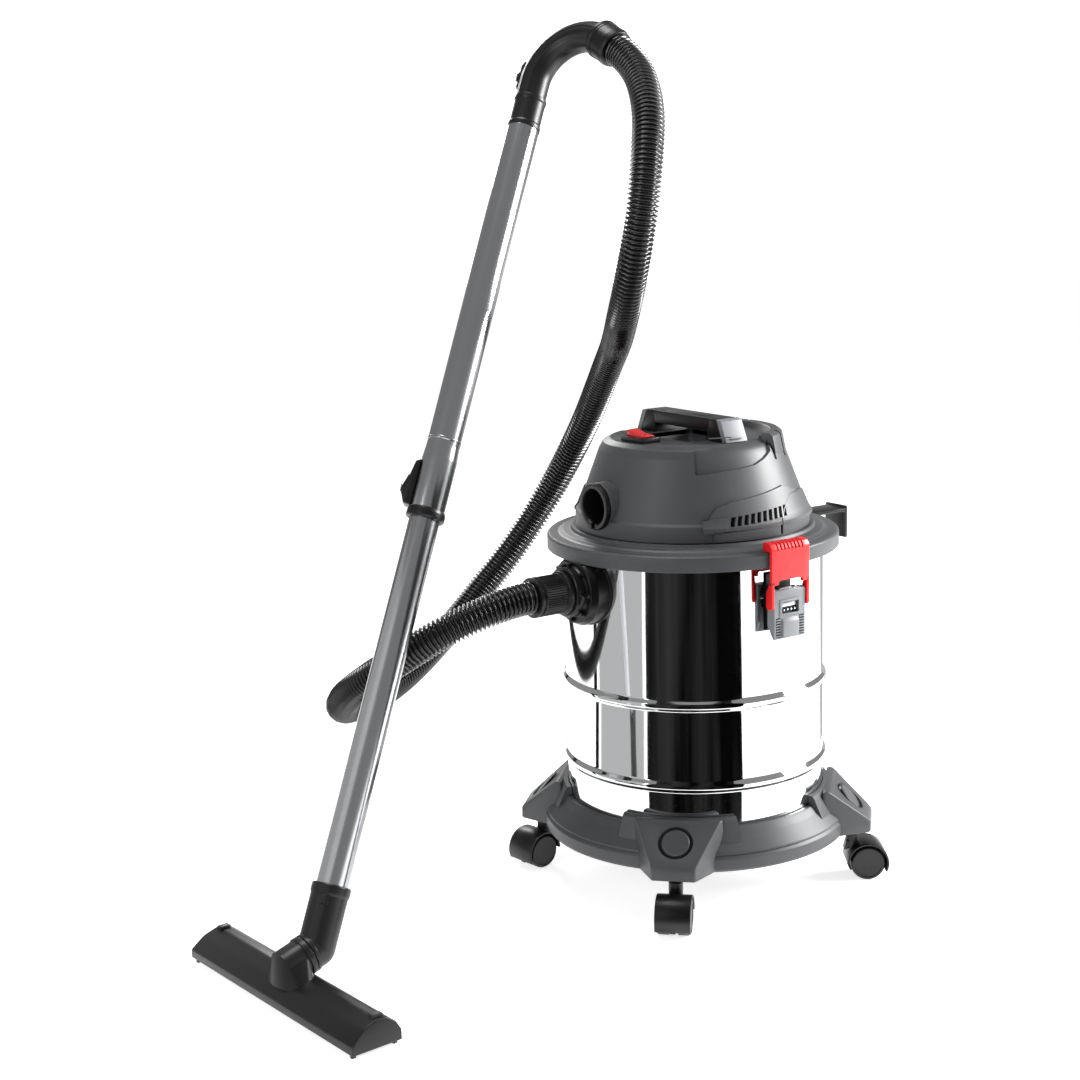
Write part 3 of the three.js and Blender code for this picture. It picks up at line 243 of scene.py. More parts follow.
def make_finishes():
    """Every finish by its record slot, and a few that share a slot."""
    return {
        "drum_steel": mirror_stainless(),
        "tube_chrome": chromed_tube(),
        "pin_steel": zinc_plate(),
        "grey_plastic": moulded("moulded_grey_abs", "#414244", "#48494B", 0.44, 1.1, 0.05),
        "light_grey_plastic": moulded("moulded_pale_grey_abs", "#77797C", "#808285", 0.42, 1.1, 0.04),
        "black_plastic": moulded("moulded_black_pp", "#080808", "#0E0E0E", 0.36, 1.1, 0.05),
        "castor_plastic": moulded("moulded_black_nylon", "#0B0B0C", "#111112", 0.36, 1.0, 0.04),
        "red_plastic": moulded("moulded_red_abs", "#C80A10", "#D21016", 0.42, 1.3, 0.02, coat=0.2),
        "rubber": moulded_rubber(),
        "hose_plastic": hose_eva(),
        "filter_foam": open_foam(),
        "motor_copper": copper_windings(),
    }


finish = {}


# ---- Mesh tools ---------------------------------------------------------------------------------

def rounded(points):
    """An outline whose corners with a third value, a radius, become arcs."""
    outline = []
    count = len(points)
    for i, point in enumerate(points):
        corner = Vector(point[:2])
        radius = point[2] if len(point) > 2 else 0
        before = Vector(points[i - 1][:2]) - corner
        after = Vector(points[(i + 1) % count][:2]) - corner
        if radius <= 0 or before.length < 1e-6 or after.length < 1e-6:
            outline.append(corner)
            continue
        half = before.angle(after) / 2
        reach = min(radius / math.tan(half), 0.48 * before.length, 0.48 * after.length)
        start = corner + before.normalized() * reach
        end = corner + after.normalized() * reach
        steps = 4
        for k in range(steps + 1):
            t = k / steps
            outline.append(start * (1 - t) ** 2 + corner * 2 * t * (1 - t) + end * t ** 2)
    return outline


def joined(forms):
    """One bmesh holding all the given ones."""
    whole = bmesh.new()
    for form in forms:
        mesh = bpy.data.meshes.new("part")
        form.to_mesh(mesh)
        form.free()
        whole.from_mesh(mesh)
        bpy.data.meshes.remove(mesh)
    return whole


def moved(form, matrix):
    bmesh.ops.transform(form, matrix=matrix, verts=form.verts)
    if matrix.determinant() < 0:
        bmesh.ops.reverse_faces(form, faces=form.faces)
    return form


def painted(form, index):
    for face in form.faces:
        face.material_index = index
    return form


def tidy(form):
    bmesh.ops.remove_doubles(form, verts=form.verts, dist=1e-3)
    bmesh.ops.recalc_face_normals(form, faces=form.faces)
    return form


def lathe(profile, steps=96, share=1.0):
    """A closed outline of (radius, height) points spun about Z."""
    form = bmesh.new()
    outline = rounded(profile)
    verts = [form.verts.new((r, 0, z)) for r, z in outline]
    edges = [form.edges.new(pair) for pair in zip(verts, verts[1:] + verts[:1])
             if max(pair[0].co.x, pair[1].co.x) > 0.01]
    whole = share >= 1.0
    ends = None if whole else bmesh.ops.duplicate(form, geom=verts + edges)
    bmesh.ops.spin(form, geom=verts + edges, cent=(0, 0, 0), axis=(0, 0, 1), angle=TAU * share,
                   steps=steps, use_merge=whole)
    if ends:
        bmesh.ops.remove_doubles(form, verts=form.verts, dist=1e-4)
        bmesh.ops.holes_fill(form, edges=[e for e in form.edges if e.is_boundary], sides=0)
    return tidy(form)


def sharp_edges(form, angle):
    limit = math.radians(angle)
    return [e for e in form.edges if len(e.link_faces) == 2 and e.calc_face_angle(0) > limit]


def bevelled(form, width, segments=2, angle=30):
    bmesh.ops.bevel(form, geom=sharp_edges(form, angle), offset=width, offset_type="OFFSET",
                    segments=segments, profile=0.5, affect="EDGES", material=-1, clamp_overlap=True)
    return form


def prism(outline, low, high, bevel=0.0, segments=2):
    """An outline in XZ, pushed along Y from low to high, with its edges rounded."""
    form = bmesh.new()
    face = form.faces.new([form.verts.new((x, low, z)) for x, z in rounded(outline)])
    pushed = bmesh.ops.extrude_face_region(form, geom=[face])["geom"]
    ends = [v for v in pushed if isinstance(v, bmesh.types.BMVert)]
    bmesh.ops.translate(form, verts=ends, vec=(0, high - low, 0))
    tidy(form)
    return bevelled(form, bevel, segments) if bevel else form


def brick(x, y, z, bevel=0.0, segments=2):
    """A box between three pairs of coordinates."""
    return prism([(x[0], z[0]), (x[1], z[0]), (x[1], z[1]), (x[0], z[1])], y[0], y[1], bevel, segments)


def round_bar(radius, low, high, steps=32, top=None, edge=0.0):
    top = radius if top is None else top
    return lathe([(0, low), (radius, low, edge), (top, high, edge), (0, high)], steps)


def carved(form, cutters):
    """The form with the cutters taken away from it."""
    objects = []
    for name, part in (("carved", form), ("cutter", joined(cutters))):
        mesh = bpy.data.meshes.new(name)
        part.to_mesh(mesh)
        part.free()
        made = bpy.data.objects.new(name, mesh)
        bpy.context.scene.collection.objects.link(made)
        objects.append(made)
    body, tool = objects
    cut = body.modifiers.new("cut", "BOOLEAN")
    cut.operation = "DIFFERENCE"
    cut.solver = "EXACT"
    cut.use_self = True
    cut.object = tool
    bpy.context.view_layer.update()
    result = body.evaluated_get(bpy.context.evaluated_depsgraph_get()).to_mesh()
    carved_form = bmesh.new()
    carved_form.from_mesh(result)
    body.to_mesh_clear()
    for made in objects:
        mesh = made.data
        bpy.data.objects.remove(made)
        bpy.data.meshes.remove(mesh)
    return carved_form


def finished(name, form, body, slot, replaces=(), materials=(), smooth=32):
    """Makes the form an object in the frame, riding on its body."""
    bmesh.ops.transform(form, matrix=TO_FRAME, verts=form.verts)
    mesh = bpy.data.meshes.new(name)
    form.to_mesh(mesh)
    form.free()
    for material in materials or (finish[slot],):
        mesh.materials.append(material)
    mesh.shade_smooth()
    mesh.set_sharp_from_angle(angle=math.radians(smooth))
    made = bpy.data.objects.new(name, mesh)
    bpy.context.scene.collection.objects.link(made)
    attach(made, body)
    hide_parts(*replaces)
    return made


def turned(degrees, axis="Z"):
    return Matrix.Rotation(math.radians(degrees), 4, axis)


def shifted(x=0.0, y=0.0, z=0.0):
    return Matrix.Translation((x, y, z))


TO_FRONT = turned(90, "X")  # +Z becomes -Y


def front_facing(form, z):
    """Turns a form made about Z to face -Y at a height."""
    return moved(form, shifted(z=z) @ TO_FRONT)


def along(direction, place, side=None):
    """The matrix that stands a form made about Z on a line."""
    up = direction.normalized()
    x = (side or up.orthogonal()).normalized()
    x = (x - x.dot(up) * up).normalized()
    y = up.cross(x)
    return Matrix.Translation(place) @ Matrix((x, y, up)).transposed().to_4x4()


def on_wand(form):
    return moved(form, along(WAND_UP, FOOT, BEND_SIDE))


# ---- Drum and inlet -----------------------------------------------------------------------------

def build_drum(sizes):
    """The drum: one deep-drawn wall with two rolled beads and a curled rim."""
    wall = 150.0
    bead = sizes.bead_rise
    outside = [(0, FLOOR_Z), (wall, FLOOR_Z, 9)]
    for z in (FLOOR_Z + 83, FLOOR_Z + 176):
        outside += [(wall, z - 6.5, 3), (wall + bead, z - 2.2, 3.5), (wall + bead, z + 2.2, 3.5),
                    (wall, z + 6.5, 3)]
    outside += [(wall, RIM_Z - 5.5, 1), (wall + 2.5, RIM_Z - 4.5, 1.5), (wall + 2.5, RIM_Z, 2),
                (wall - 1.2, RIM_Z, 0.6)]
    inside = [(wall - 1.2, FLOOR_Z + 1.2, 8), (0, FLOOR_Z + 1.2)]
    finished("drum_shell", lathe(outside + inside, 192), "vacuum", "drum_steel", ["drum"], smooth=50)


def build_inlet(sizes):
    """The inlet: a black boss bolted on the wall, its collar with bayonet lugs, and its gasket."""
    top = LID_Z - 26
    boss = lathe([(19.5, 140), (40, 140), (40, 162, 3), (36.5, 170, 2), (29.5, 170, 1), (28.5, 173, 1),
                  (28.5, 180.5, 1), (27, 182, 0.6), (19.5, 182)], 96)
    ribs = [moved(brick((-2.2, 2.2), (28, 34.8), (168, 174.5), 0.7), turned(a)) for a in range(0, 360, 45)]
    lugs = [moved(brick((-6, 6), (27, 30.5), (173.5, 180), 0.9), turned(a)) for a in (20, 140, 260)]
    form = front_facing(joined([boss, *ribs, *lugs]), INLET_Z)
    keep_out = [brick((-80, 80), (-200, -100), (top, top + 40)),
                lathe([(0, INLET_Z - 70), (152.7, INLET_Z - 70), (152.7, INLET_Z + 70), (0, INLET_Z + 70)],
                      96)]
    finished("inlet_socket_moulding", carved(form, keep_out), "vacuum", "black_plastic", ["inlet_socket"])
    seal = front_facing(lathe([(24, 130), (41, 130), (41, 165, 1), (24, 165)], 96), INLET_Z)
    ring = [brick((-80, 80), (-200, -100), (top, top + 40)),
            lathe([(152.4, INLET_Z - 70), (240, INLET_Z - 70), (240, INLET_Z + 70), (152.4, INLET_Z + 70)],
                  96),
            lathe([(0, INLET_Z - 70), (150.4, INLET_Z - 70), (150.4, INLET_Z + 70), (0, INLET_Z + 70)],
                      96)]
    finished("inlet_seal", carved(seal, ring), "vacuum", "rubber", ["inlet_gasket"])


def ribbed_ring(outer, depth, count, low, high):
    """A sleeve with rounded ribs along it."""
    form = bmesh.new()
    steps = count * 6
    loops = []
    for z in (low, high):
        loop = []
        for i in range(steps):
            angle = TAU * i / steps
            r = outer - depth * (0.5 - 0.5 * math.cos(angle * count))
            loop.append(form.verts.new((r * math.cos(angle), r * math.sin(angle), z)))
        loops.append(loop)
    for loop in loops:
        for pair in zip(loop, loop[1:] + loop[:1]):
            form.edges.new(pair)
    bmesh.ops.bridge_loops(form, edges=form.edges[:])
    bmesh.ops.holes_fill(form, edges=[e for e in form.edges if e.is_boundary], sides=0)
    return tidy(form)


def build_connector(sizes):
    """The hose connector: a plug with a turning ring, ribbed for the fingers."""
    start = 182.3
    end = start + 42.7
    body = lathe([(15.5, start - 28), (18.5, start - 28, 1), (18.5, start), (24.6, start, 0.8),
                  (24.6, start + 5, 0.8), (21.6, start + 6.5, 0.5), (21.6, end - 4), (22.6, end - 3.4, 0.6),
                  (22.6, end, 0.8), (15.5, end)], 96)
    grip = ribbed_ring(22.4, 0.7, 54, start + 8, end - 8)
    bands = [lathe([(20, z), (22.7, z, 0.4), (22.7, z + 1.6, 0.4), (20, z + 1.6)], 96)
             for z in (start + 6.4, end - 8)]
    lugs = [moved(brick((-3.5, 3.5), (23.5, 24.9), (start + 0.6, start + 4.4), 0.4), turned(a))
            for a in range(15, 360, 60)]
    form = front_facing(joined([body, grip, *bands, *lugs]), INLET_Z)
    finished("hose_connector_cuff", form, "vacuum", "black_plastic", ["hose_connector"])


# ---- Castor base and castors --------------------------------------------------------------------

ARMS = (45, 135, 225, 315)
ARM_TIP = 207.0
ARM_TOP = BASE_Z + 55


def arm_form():
    """One arm along +X: a sloping deck that narrows to its tip over flared sides."""
    root = 152.5
    outline = [(root, BASE_Z), (ARM_TIP - 1, BASE_Z), (ARM_TIP, BASE_Z + 2), (ARM_TIP, BASE_Z + 14),
               (ARM_TIP - 4, BASE_Z + 18), (160, ARM_TOP), (root, ARM_TOP)]
    form = prism(outline, -0.5, 0.5)
    for vert in form.verts:
        reach = min(max((vert.co.x - 158) / (ARM_TIP - 158), 0), 1)
        flare = 8 if vert.co.z < BASE_Z + 4 else 0
        width = 98 + (48 - 98) * reach + flare * (1 - reach)
        vert.co.y *= width
    return bevelled(form, 2.6, 3)


def cap_place(angle):
    low = Vector((ARM_TIP - 4, BASE_Z + 18))
    high = Vector((160, ARM_TOP))
    middle = low.lerp(high, 0.48)
    slope = math.degrees(math.atan2(high.y - low.y, low.x - high.x))
    return turned(angle) @ shifted(middle.x, 0, middle.y) @ turned(90 - slope, "Y")


def build_base(sizes):
    """The castor base: a pan with a sloping ring, four arms, a raised lip behind each arm, and round caps."""
    inner = 150.4
    ring = lathe([(0, BASE_Z), (176.5, BASE_Z, 1.5), (178, BASE_Z + 3, 1), (178, BASE_Z + 15, 3),
                  (172, BASE_Z + 22, 3), (157.5, BASE_Z + 42, 2), (155.5, BASE_Z + 44.3, 1.2),
                  (inner, BASE_Z + 44.3, 0.8), (inner, BASE_Z + 6), (0, BASE_Z + 6)], 160)
    ridge = lathe([(160, BASE_Z + 20), (176.6, BASE_Z + 19, 1), (175.4, BASE_Z + 21.4, 1),
                   (162, BASE_Z + 36)], 160)
    lips = []
    for angle in ARMS:
        lip = lathe([(inner, BASE_Z + 30), (168, BASE_Z + 30), (158, ARM_TOP - 3, 2),
                     (155, ARM_TOP, 1.4), (inner, ARM_TOP, 0.8)], 24, share=48 / 360)
        lips.append(moved(lip, turned(angle - 24)))
    arms = [moved(arm_form(), turned(angle)) for angle in ARMS]
    wells = [moved(round_bar(19.4, -2.6, 12, 48), cap_place(angle)) for angle in ARMS]
    room = lathe([(0, BASE_Z + 6), (inner, BASE_Z + 6), (inner, BASE_Z + 90), (0, BASE_Z + 90)], 160)
    arms_cut = [carved(arm, [well]) for arm, well in zip(arms, wells)]
    lips_and_arms = carved(joined(arms_cut), [room])
    form = joined([ring, ridge, *lips, lips_and_arms])
    finished("castor_base_moulding", form, "vacuum", "grey_plastic", ["castor_base"])
    for i, angle in enumerate(ARMS, start=1):
        # The black ring round each cap is painted shade, standing for the dark groove between the cap and its
        # well.
        groove = painted(lathe([(15.4, -2.4), (18.9, -2.4), (18.9, 0.25), (15.4, 0.25)], 64), 1)
        cap = lathe([(0, -2.5), (15.6, -2.5), (15.6, 0.2, 0.8), (14.6, 0.9, 0.4), (13.4, 0.6, 0.4),
                    (0, 0.8)], 64)
        finished(f"arm_cap_{i}_disc", moved(joined([cap, groove]), cap_place(angle)), "vacuum",
                 "grey_plastic", [f"arm_cap_{i}"],
                 materials=[finish["grey_plastic"], finish["black_plastic"]])


def castor_matrix(number):
    stem = joint_place(f"castor_{number}_swivel")
    axle = joint_place(f"castor_{number}_roll")
    yaw = math.atan2(axle.y - stem.y, axle.x - stem.x)
    return Matrix.Translation((stem.x, stem.y, 0)) @ Matrix.Rotation(yaw, 4, "Z")


TRAIL = 16.0
WHEEL = 20.0


def arc(radius, start, end, steps):
    angles = [math.radians(start + (end - start) * i / steps) for i in range(steps + 1)]
    return [(TRAIL + radius * math.cos(a), WHEEL + radius * math.sin(a)) for a in angles]


def hood_form():
    """The castor's hood: a fender over both wheels, a web between them, and the swivel neck."""
    outline = arc(24.5, -25, 180, 28) + arc(22.1, 180, -25, 28)
    fender = prism(outline, -19.8, 19.8, 0.7)
    web = prism(arc(23, 0, 360, 40)[:-1], -2.9, 2.9)
    web = carved(web, [brick((-40, 60), (-9, 9), (-40, 7))])
    neck = lathe([(0, 36), (8, 36), (8, BASE_Z - 7.2, 1), (7, BASE_Z - 5.8, 0.6), (0, BASE_Z - 5.8)], 32)
    shoulder = prism([(-11, 33), (9, 39), (9, 43, 3), (-8, 46, 5), (-9, 40, 3)], -7, 7, 1.4)
    return joined([fender, web, carved(neck, [moved(round_bar(22, -19, 19, 48),
                   shifted(TRAIL, 0, WHEEL) @ turned(90, "X"))]), shoulder])


def wheel_form():
    """Two wheels on one axle: a rounded tread and a dished outer face with a raised rim."""
    tread = [(0, 3.5), (17.5, 3.5, 1), (20, 5.4, 1.6), (20, 16.6, 1.8), (18.4, 18.9, 0.8), (16.6, 18.9, 0.5),
             (15.9, 18.2, 0.5), (5, 17.9, 1), (0, 18.1)]
    one = moved(lathe(tread, 64), turned(90, "X"))
    other = moved(lathe(tread, 64), turned(-90, "X"))
    axle = moved(round_bar(2.5, -4.5, 4.5, 20), turned(90, "X"))
    return moved(joined([one, other, axle]), shifted(TRAIL, 0, WHEEL))


def build_castors(sizes):
    """Four swivel castors, each a hood, a plated stem and a pair of wheels."""
    for number in range(1, 5):
        place = castor_matrix(number)
        finished(f"castor_{number}_fender", moved(hood_form(), place), f"castor_{number}",
                 "castor_plastic", [f"castor_{number}_hood"])
        finished(f"castor_{number}_wheel_pair", moved(wheel_form(), place), f"wheels_{number}",
                 "castor_plastic", [f"castor_{number}_wheels"])
        stem = lathe([(0, BASE_Z - 12), (4, BASE_Z - 12), (4, BASE_Z - 5.2), (6.8, BASE_Z - 5.2, 0.6),
                      (6.8, BASE_Z - 0.4, 0.6), (4, BASE_Z - 0.4), (4, BASE_Z + 17, 1), (0, BASE_Z + 19)], 32)
        finished(f"castor_{number}_pin", moved(stem, place), f"castor_{number}", "pin_steel",
                 [f"castor_{number}_stem"])


# ---- Lid and motor head -------------------------------------------------------------------------

COVER_PROFILE = ((135.0, COVER_Z), (134.4, COVER_Z + 18), (131.0, COVER_Z + 21), (111.0, COVER_TOP - 26),
                 (106.0, COVER_TOP - 12.5), (101.0, COVER_TOP - 4), (93.0, COVER_TOP))
WRAP = 125.0  # radius at which an outline's azimuth is unrolled


def cover_radius(z):
    if z <= COVER_PROFILE[0][1]:
        return COVER_PROFILE[0][0]
    for (r0, z0), (r1, z1) in zip(COVER_PROFILE, COVER_PROFILE[1:]):
        if z <= z1:
            return r0 + (r1 - r0) * (z - z0) / (z1 - z0)
    return COVER_PROFILE[-1][0]


def skin(outline, low, high, bevel=0.0):
    """An outline of (azimuth in degrees, height) laid on the cover, between two heights off its surface."""
    flat = [(math.radians(p[0]) * WRAP, *p[1:]) for p in outline]
    form = prism(flat, -high, -low)
    for axis, step in ((0, 5.0), (2, 4.0)):
        spread = [v.co[axis] for v in form.verts]
        first = math.ceil(min(spread) / step)
        for k in range(first, math.floor(max(spread) / step) + 1):
            place = [0, 0, 0]
            normal = [0, 0, 0]
            place[axis] = k * step
            normal[axis] = 1
            bmesh.ops.bisect_plane(form, geom=form.verts[:] + form.edges[:] + form.faces[:], dist=1e-4,
                                   plane_co=place, plane_no=normal)
    if bevel:
        bevelled(form, bevel, 2, 60)
    for vert in form.verts:
        azimuth = vert.co.x / WRAP
        radius = cover_radius(vert.co.z) - vert.co.y
        vert.co.x = radius * math.sin(azimuth)
        vert.co.y = -radius * math.cos(azimuth)
    return tidy(form)


def both_sides(make):
    """The same form on the +X side and, turned half round, on the -X side."""
    return [make(), moved(make(), turned(180))]


def slot_outline(i, count):
    middle = 71 + i * (102.5 - 71) / (count - 1)
    low = 440.5 + 0.4 * i
    high = 450.5 + 0.6 * i
    return [(middle - 1.35, low), (middle + 0.9, low), (middle + 2.3, high), (middle + 0.05, high)]


def build_lid(sizes):
    """The lid base: a wide flange with a turned-down edge and a step under the motor cover."""
    edge = LID_Z - 7.5
    form = lathe([(60, LID_Z - 11), (143, LID_Z - 11), (143, RIM_Z - 9), (147, RIM_Z - 9, 0.6),
                  (147, RIM_Z + 2), (163.5, RIM_Z + 2), (163.5, LID_Z - 25, 0.6), (168, LID_Z - 25, 0.8),
                  (168, edge - 2, 2.4), (165.5, edge, 1.5), (154, edge, 1.5), (149.5, LID_Z - 4.2, 2),
                  (141, LID_Z - 3.4, 1), (139, LID_Z, 0.8), (60, LID_Z)], 192)
    bead = lathe([(150, edge - 1), (155.6, edge - 1), (155.6, edge + 0.3, 0.3), (152, edge + 1.4, 0.3)], 192)
    finished("lid_flange", joined([form, bead]), "vacuum", "grey_plastic", ["lid_base"])


def cover_shell():
    outside = [(p[0], p[1], 1.4) for p in COVER_PROFILE[:3]]
    outside[0] = COVER_PROFILE[0]
    outside += [(111, COVER_TOP - 26, 3), (106, COVER_TOP - 12.5, 6), (101, COVER_TOP - 4, 3),
                (93, COVER_TOP, 4), (0, COVER_TOP)]
    wall = 7
    inside = [(0, COVER_TOP - wall), (90 - wall, COVER_TOP - wall), (99 - wall, COVER_TOP - 13),
              (109 - wall, COVER_TOP - 28), (129 - wall, COVER_Z + 20), (134 - wall, COVER_Z + 17),
              (135 - wall, COVER_Z)]
    return lathe(outside + inside, 192)


def build_cover(sizes):
    """The motor cover: a tapered dome with side panels, cooling slots, a port and a well for the handle."""
    well = brick((-50, 50), (-38, 38), (COVER_TOP - 18, COVER_TOP + 20), 5, 3)
    tub = brick((-52.5, 52.5), (-40.5, 40.5), (COVER_TOP - 20.5, COVER_TOP - 1.2), 5, 3)
    boss = front_facing(round_bar(26.4, 96, 132.6, 96, edge=1.2), PORT_Z)
    hump = lathe([(78, COVER_TOP - 6), (107.5, COVER_TOP - 15), (103.5, COVER_TOP + 4, 3),
                  (99, COVER_TOP + 7, 2), (90, COVER_TOP + 6.5, 2), (86, COVER_TOP - 1, 2)], 48, share=0.38)
    hump = moved(hump, turned(90 - 0.38 * 180))
    side_panel = [(59.5, 448), (63.6, 460, 1), (71.8, 465.5, 6), (107.4, 475.7, 3), (112, 473, 2),
                  (121.8, 466.5, 2), (133, 464, 2), (136, 446), (136, 436), (59.5, 436)]
    tip = [(57, 434), (57, 447, 0.6), (67.3, 451, 0.6), (69.4, 448, 0.4), (68.6, 436.5, 0.6)]
    foot = [(62, 424.5), (62, 434, 0.5), (76, 435.5, 0.5), (97.4, 436.5), (97.4, 424.5)]
    recess = [(53.5, 532), (54, 494, 3), (62, 495.5), (91.7, 501.3, 4), (101, 506.5, 3), (109, 513, 3),
              (112, 522, 2), (114, 532)]
    ledge = [(64, 533), (64.5, 521.6, 1), (79, 521.6, 1), (80, 533)]
    count = sizes.slot_count
    cutters = [well, front_facing(round_bar(20.9, 90, 150, 96), PORT_Z)]
    cutters += both_sides(lambda: skin(recess, -4.2, 12))
    for i in range(count):
        cutters += both_sides(lambda: skin(slot_outline(i, count), -12, 8))
    for azimuth in (112, 128, 152, 172, 188, 208, 232, 248):
        cutters.append(moved(brick((96.5, 118), (-2.4, 2.4), (COVER_TOP - 21, COVER_TOP + 12), 0.4),
                             turned(azimuth - 90)))
    raised = both_sides(lambda: skin(side_panel, -1, 3.2, 1.0))
    raised += both_sides(lambda: skin(tip, -1, 4.6, 0.9))
    raised += both_sides(lambda: skin(foot, -1, 2.4, 0.7))
    raised += both_sides(lambda: skin(ledge, -1, 2.2, 0.6))
    shell = carved(cover_shell(), [front_facing(round_bar(20.9, 90, 150, 96), PORT_Z)])
    solids = [shell, boss, tub, hump, *raised]
    cut_parts = []
    for solid in solids:
        copies = [c.copy() for c in cutters]
        cut_parts.append(carved(solid, copies))
    for cutter in cutters:
        cutter.free()
    finished("motor_cover_moulding", joined(cut_parts), "vacuum", "grey_plastic", ["motor_cover"])


def joint_shade_ring():
    """The dark joint between the motor cover and the lid's flange."""
    low, high = COVER_Z - 0.6, COVER_Z + 0.7
    return lathe([(133, low), (135.6, low), (135.6, high), (133, high)], 160)


def seam_shade_strips():
    """The split line of the side panel, as a thin dark groove."""
    path = [(121.8, 465.6), (111.0, 465.2), (104.6, 455.2), (98.6, 440.5), (98.3, 425.5)]
    strips = []
    for (a0, z0), (a1, z1) in zip(path, path[1:]):
        run = Vector(((a1 - a0) * 2.2, z1 - z0)).normalized()
        side = Vector((-run.y, run.x)) * 0.45
        strips.append(skin([(a0 + side.x / 2.2, z0 + side.y), (a1 + side.x / 2.2, z1 + side.y),
                            (a1 - side.x / 2.2, z1 - side.y), (a0 - side.x / 2.2, z0 - side.y)], -1, 3.4))
    return joined(strips)


def build_port(sizes):
    """The blower port's ring with its bayonet notch, and the dark seams of the side panels."""
    ring = lathe([(19.2, 112), (20.6, 112), (20.6, PORT_END - 6), (26.2, PORT_END - 6, 0.8),
                  (26.2, PORT_END, 1.4), (21, PORT_END, 1.6), (19.2, PORT_END - 3)], 96)
    notch = brick((-4.5, 4.5), (-26, -16), (PORT_END - 12, PORT_END + 4), 0.6)
    form = front_facing(carved(ring, [notch]), PORT_Z)
    finished("blower_port_collar", form, "vacuum", "black_plastic", ["blower_port_ring"])
    # Painted shade: black strips and a ring where the seams and the joint under the cover would be dark.
    finished("cover_seam_shade", joined([*both_sides(seam_shade_strips), joint_shade_ring()]), "vacuum", "black_plastic")


def build_grip(sizes):
    """The carry handle: a black bar between two boxed grey ends."""
    low = COVER_TOP + 0.3
    top = GRIP_TOP
    bar = prism([(-71, top - 15, 3), (71, top - 15, 3), (64, top, 4), (-64, top, 4)], -14.5, 14.5, 1.6, 3)
    pads = [moved(prism([(46, low), (75, low), (64, top - 0.6, 3), (52, top - 0.6, 2)], -15, 15, 1.4),
                  turned(turn)) for turn in (0, 180)]
    strip = brick((-40, 40), (-8, 8), (top - 1, top + 0.15), 0.4)
    finished("carry_bar", joined([bar, strip, *pads]), "vacuum", "black_plastic", ["carry_handle"])
    for name, turn in (("right", 0), ("left", 180)):
        end = prism([(75.3, low), (83, low, 0.6), (72.6, top - 1.5, 1.5), (66, top, 1), (64.8, top)],
                    -15, 15, 0.8, 3)
        groove = brick((78, 84), (-9, 9), (low + 4, low + 4.8), 0.2)
        finished(f"carry_end_{name}", moved(joined([end, groove]), turned(turn)), "vacuum",
                 "light_grey_plastic", [f"handle_end_cap_{name}"])


def build_switch(sizes):
    """The power switch: a black bezel and a red rocker with a lens-like boss."""
    low = COVER_TOP + 0.3
    pivot = joint_place("power_switch")
    y = pivot.y
    frame_form = prism([(-20.5, low), (20.5, low), (19.3, low + 5.4, 1), (-19.3, low + 5.4, 1)],
                       y - 13, y + 13, 1)
    bezel = carved(frame_form, [brick((-16.5, 16.5), (y - 9, y + 9), (low - 5, low + 20))])
    finished("switch_frame", bezel, "vacuum", "black_plastic", ["switch_bezel"])
    key = prism([(-8, low + 3), (8, low + 3), (15.2, low + 5.6), (15.2, low + 7.6, 1.2),
                 (0, low + 8.4, 6), (-15.2, low + 12.4, 1.4), (-15.2, low + 5.6)], y - 8, y + 8, 0.8, 3)
    dot = moved(lathe([(0, -1), (2.6, -1), (2.6, 0.5, 0.4), (0, 0.5)], 32), shifted(9, y, low + 8.1))
    finished("rocker_key", joined([key, dot]), "rocker", "red_plastic", ["power_rocker"])


def build_cord_hook(sizes):
    """The cord hook at the back, and the cord's gland."""
    top = RIM_Z + 5
    outline = [(168.3, top - 14), (172.3, top - 14), (172.3, top - 7, 3), (176, top - 4, 3),
               (221, top - 4, 2),
               (221, top - 36, 1), (225, top - 36, 1), (225, top + 3, 1), (222.5, top + 3, 1), (221, top, 1),
               (168.3, top)]
    form = moved(prism(outline, -18, 18, 0.9), turned(90))
    rib = moved(prism([(170, top - 12), (190, top - 3), (170, top - 3)], -1.5, 1.5, 0.4), turned(90))
    finished("cord_hook_moulding", joined([form, rib]), "vacuum", "black_plastic", ["cord_hook"])


# ---- Latches ------------------------------------------------------------------------------------

def latch_side(name):
    return turned(0 if name == "right" else 180)


def hook_form(pin_x, pin_z):
    """The red hook: a ribbed lip over the flange, a broad plate, and two legs down to the lever's pins."""
    face = 168.8
    front = face + 4
    lip = RIM_Z + 2 + 5.5 + 0.4
    low = pin_z + 22
    plate = prism([(face, low, 1), (front, low, 1.5), (front, lip + 3, 3), (front - 3.5, lip + 9, 3),
                   (face - 10.5, lip + 9.9, 1.5), (face - 11.8, lip + 1, 1), (face - 9, lip, 1), (face, lip)],
                  -27, 27, 1.2, 3)
    channel = [(face - 9, lip + 8.6), (front - 4.6, lip + 7.6), (front - 1.8, lip + 1.6),
               (front + 3, lip + 1.6),
               (front + 3, lip + 15), (face - 9, lip + 15)]
    channels = [prism(channel, y - 1.15, y + 1.15, 0.4) for y in range(-18, 19, 5)]
    window = brick((150, 190), (-17, 17), (low - 10, low + 5), 2)
    leg = [(pin_x - 4, pin_z, 3), (pin_x - 3, pin_z - 4.6, 3), (pin_x + 1, pin_z - 5.6, 3),
           (front, pin_z - 4.4, 4), (front, low + 4), (face, low + 4), (pin_x - 3.4, pin_z + 14, 4)]
    legs = [prism(leg, y, y + 4.2, 1.0, 3) for y in (-27, 22.8)]
    return joined([carved(plate, [window, *channels]), *legs])


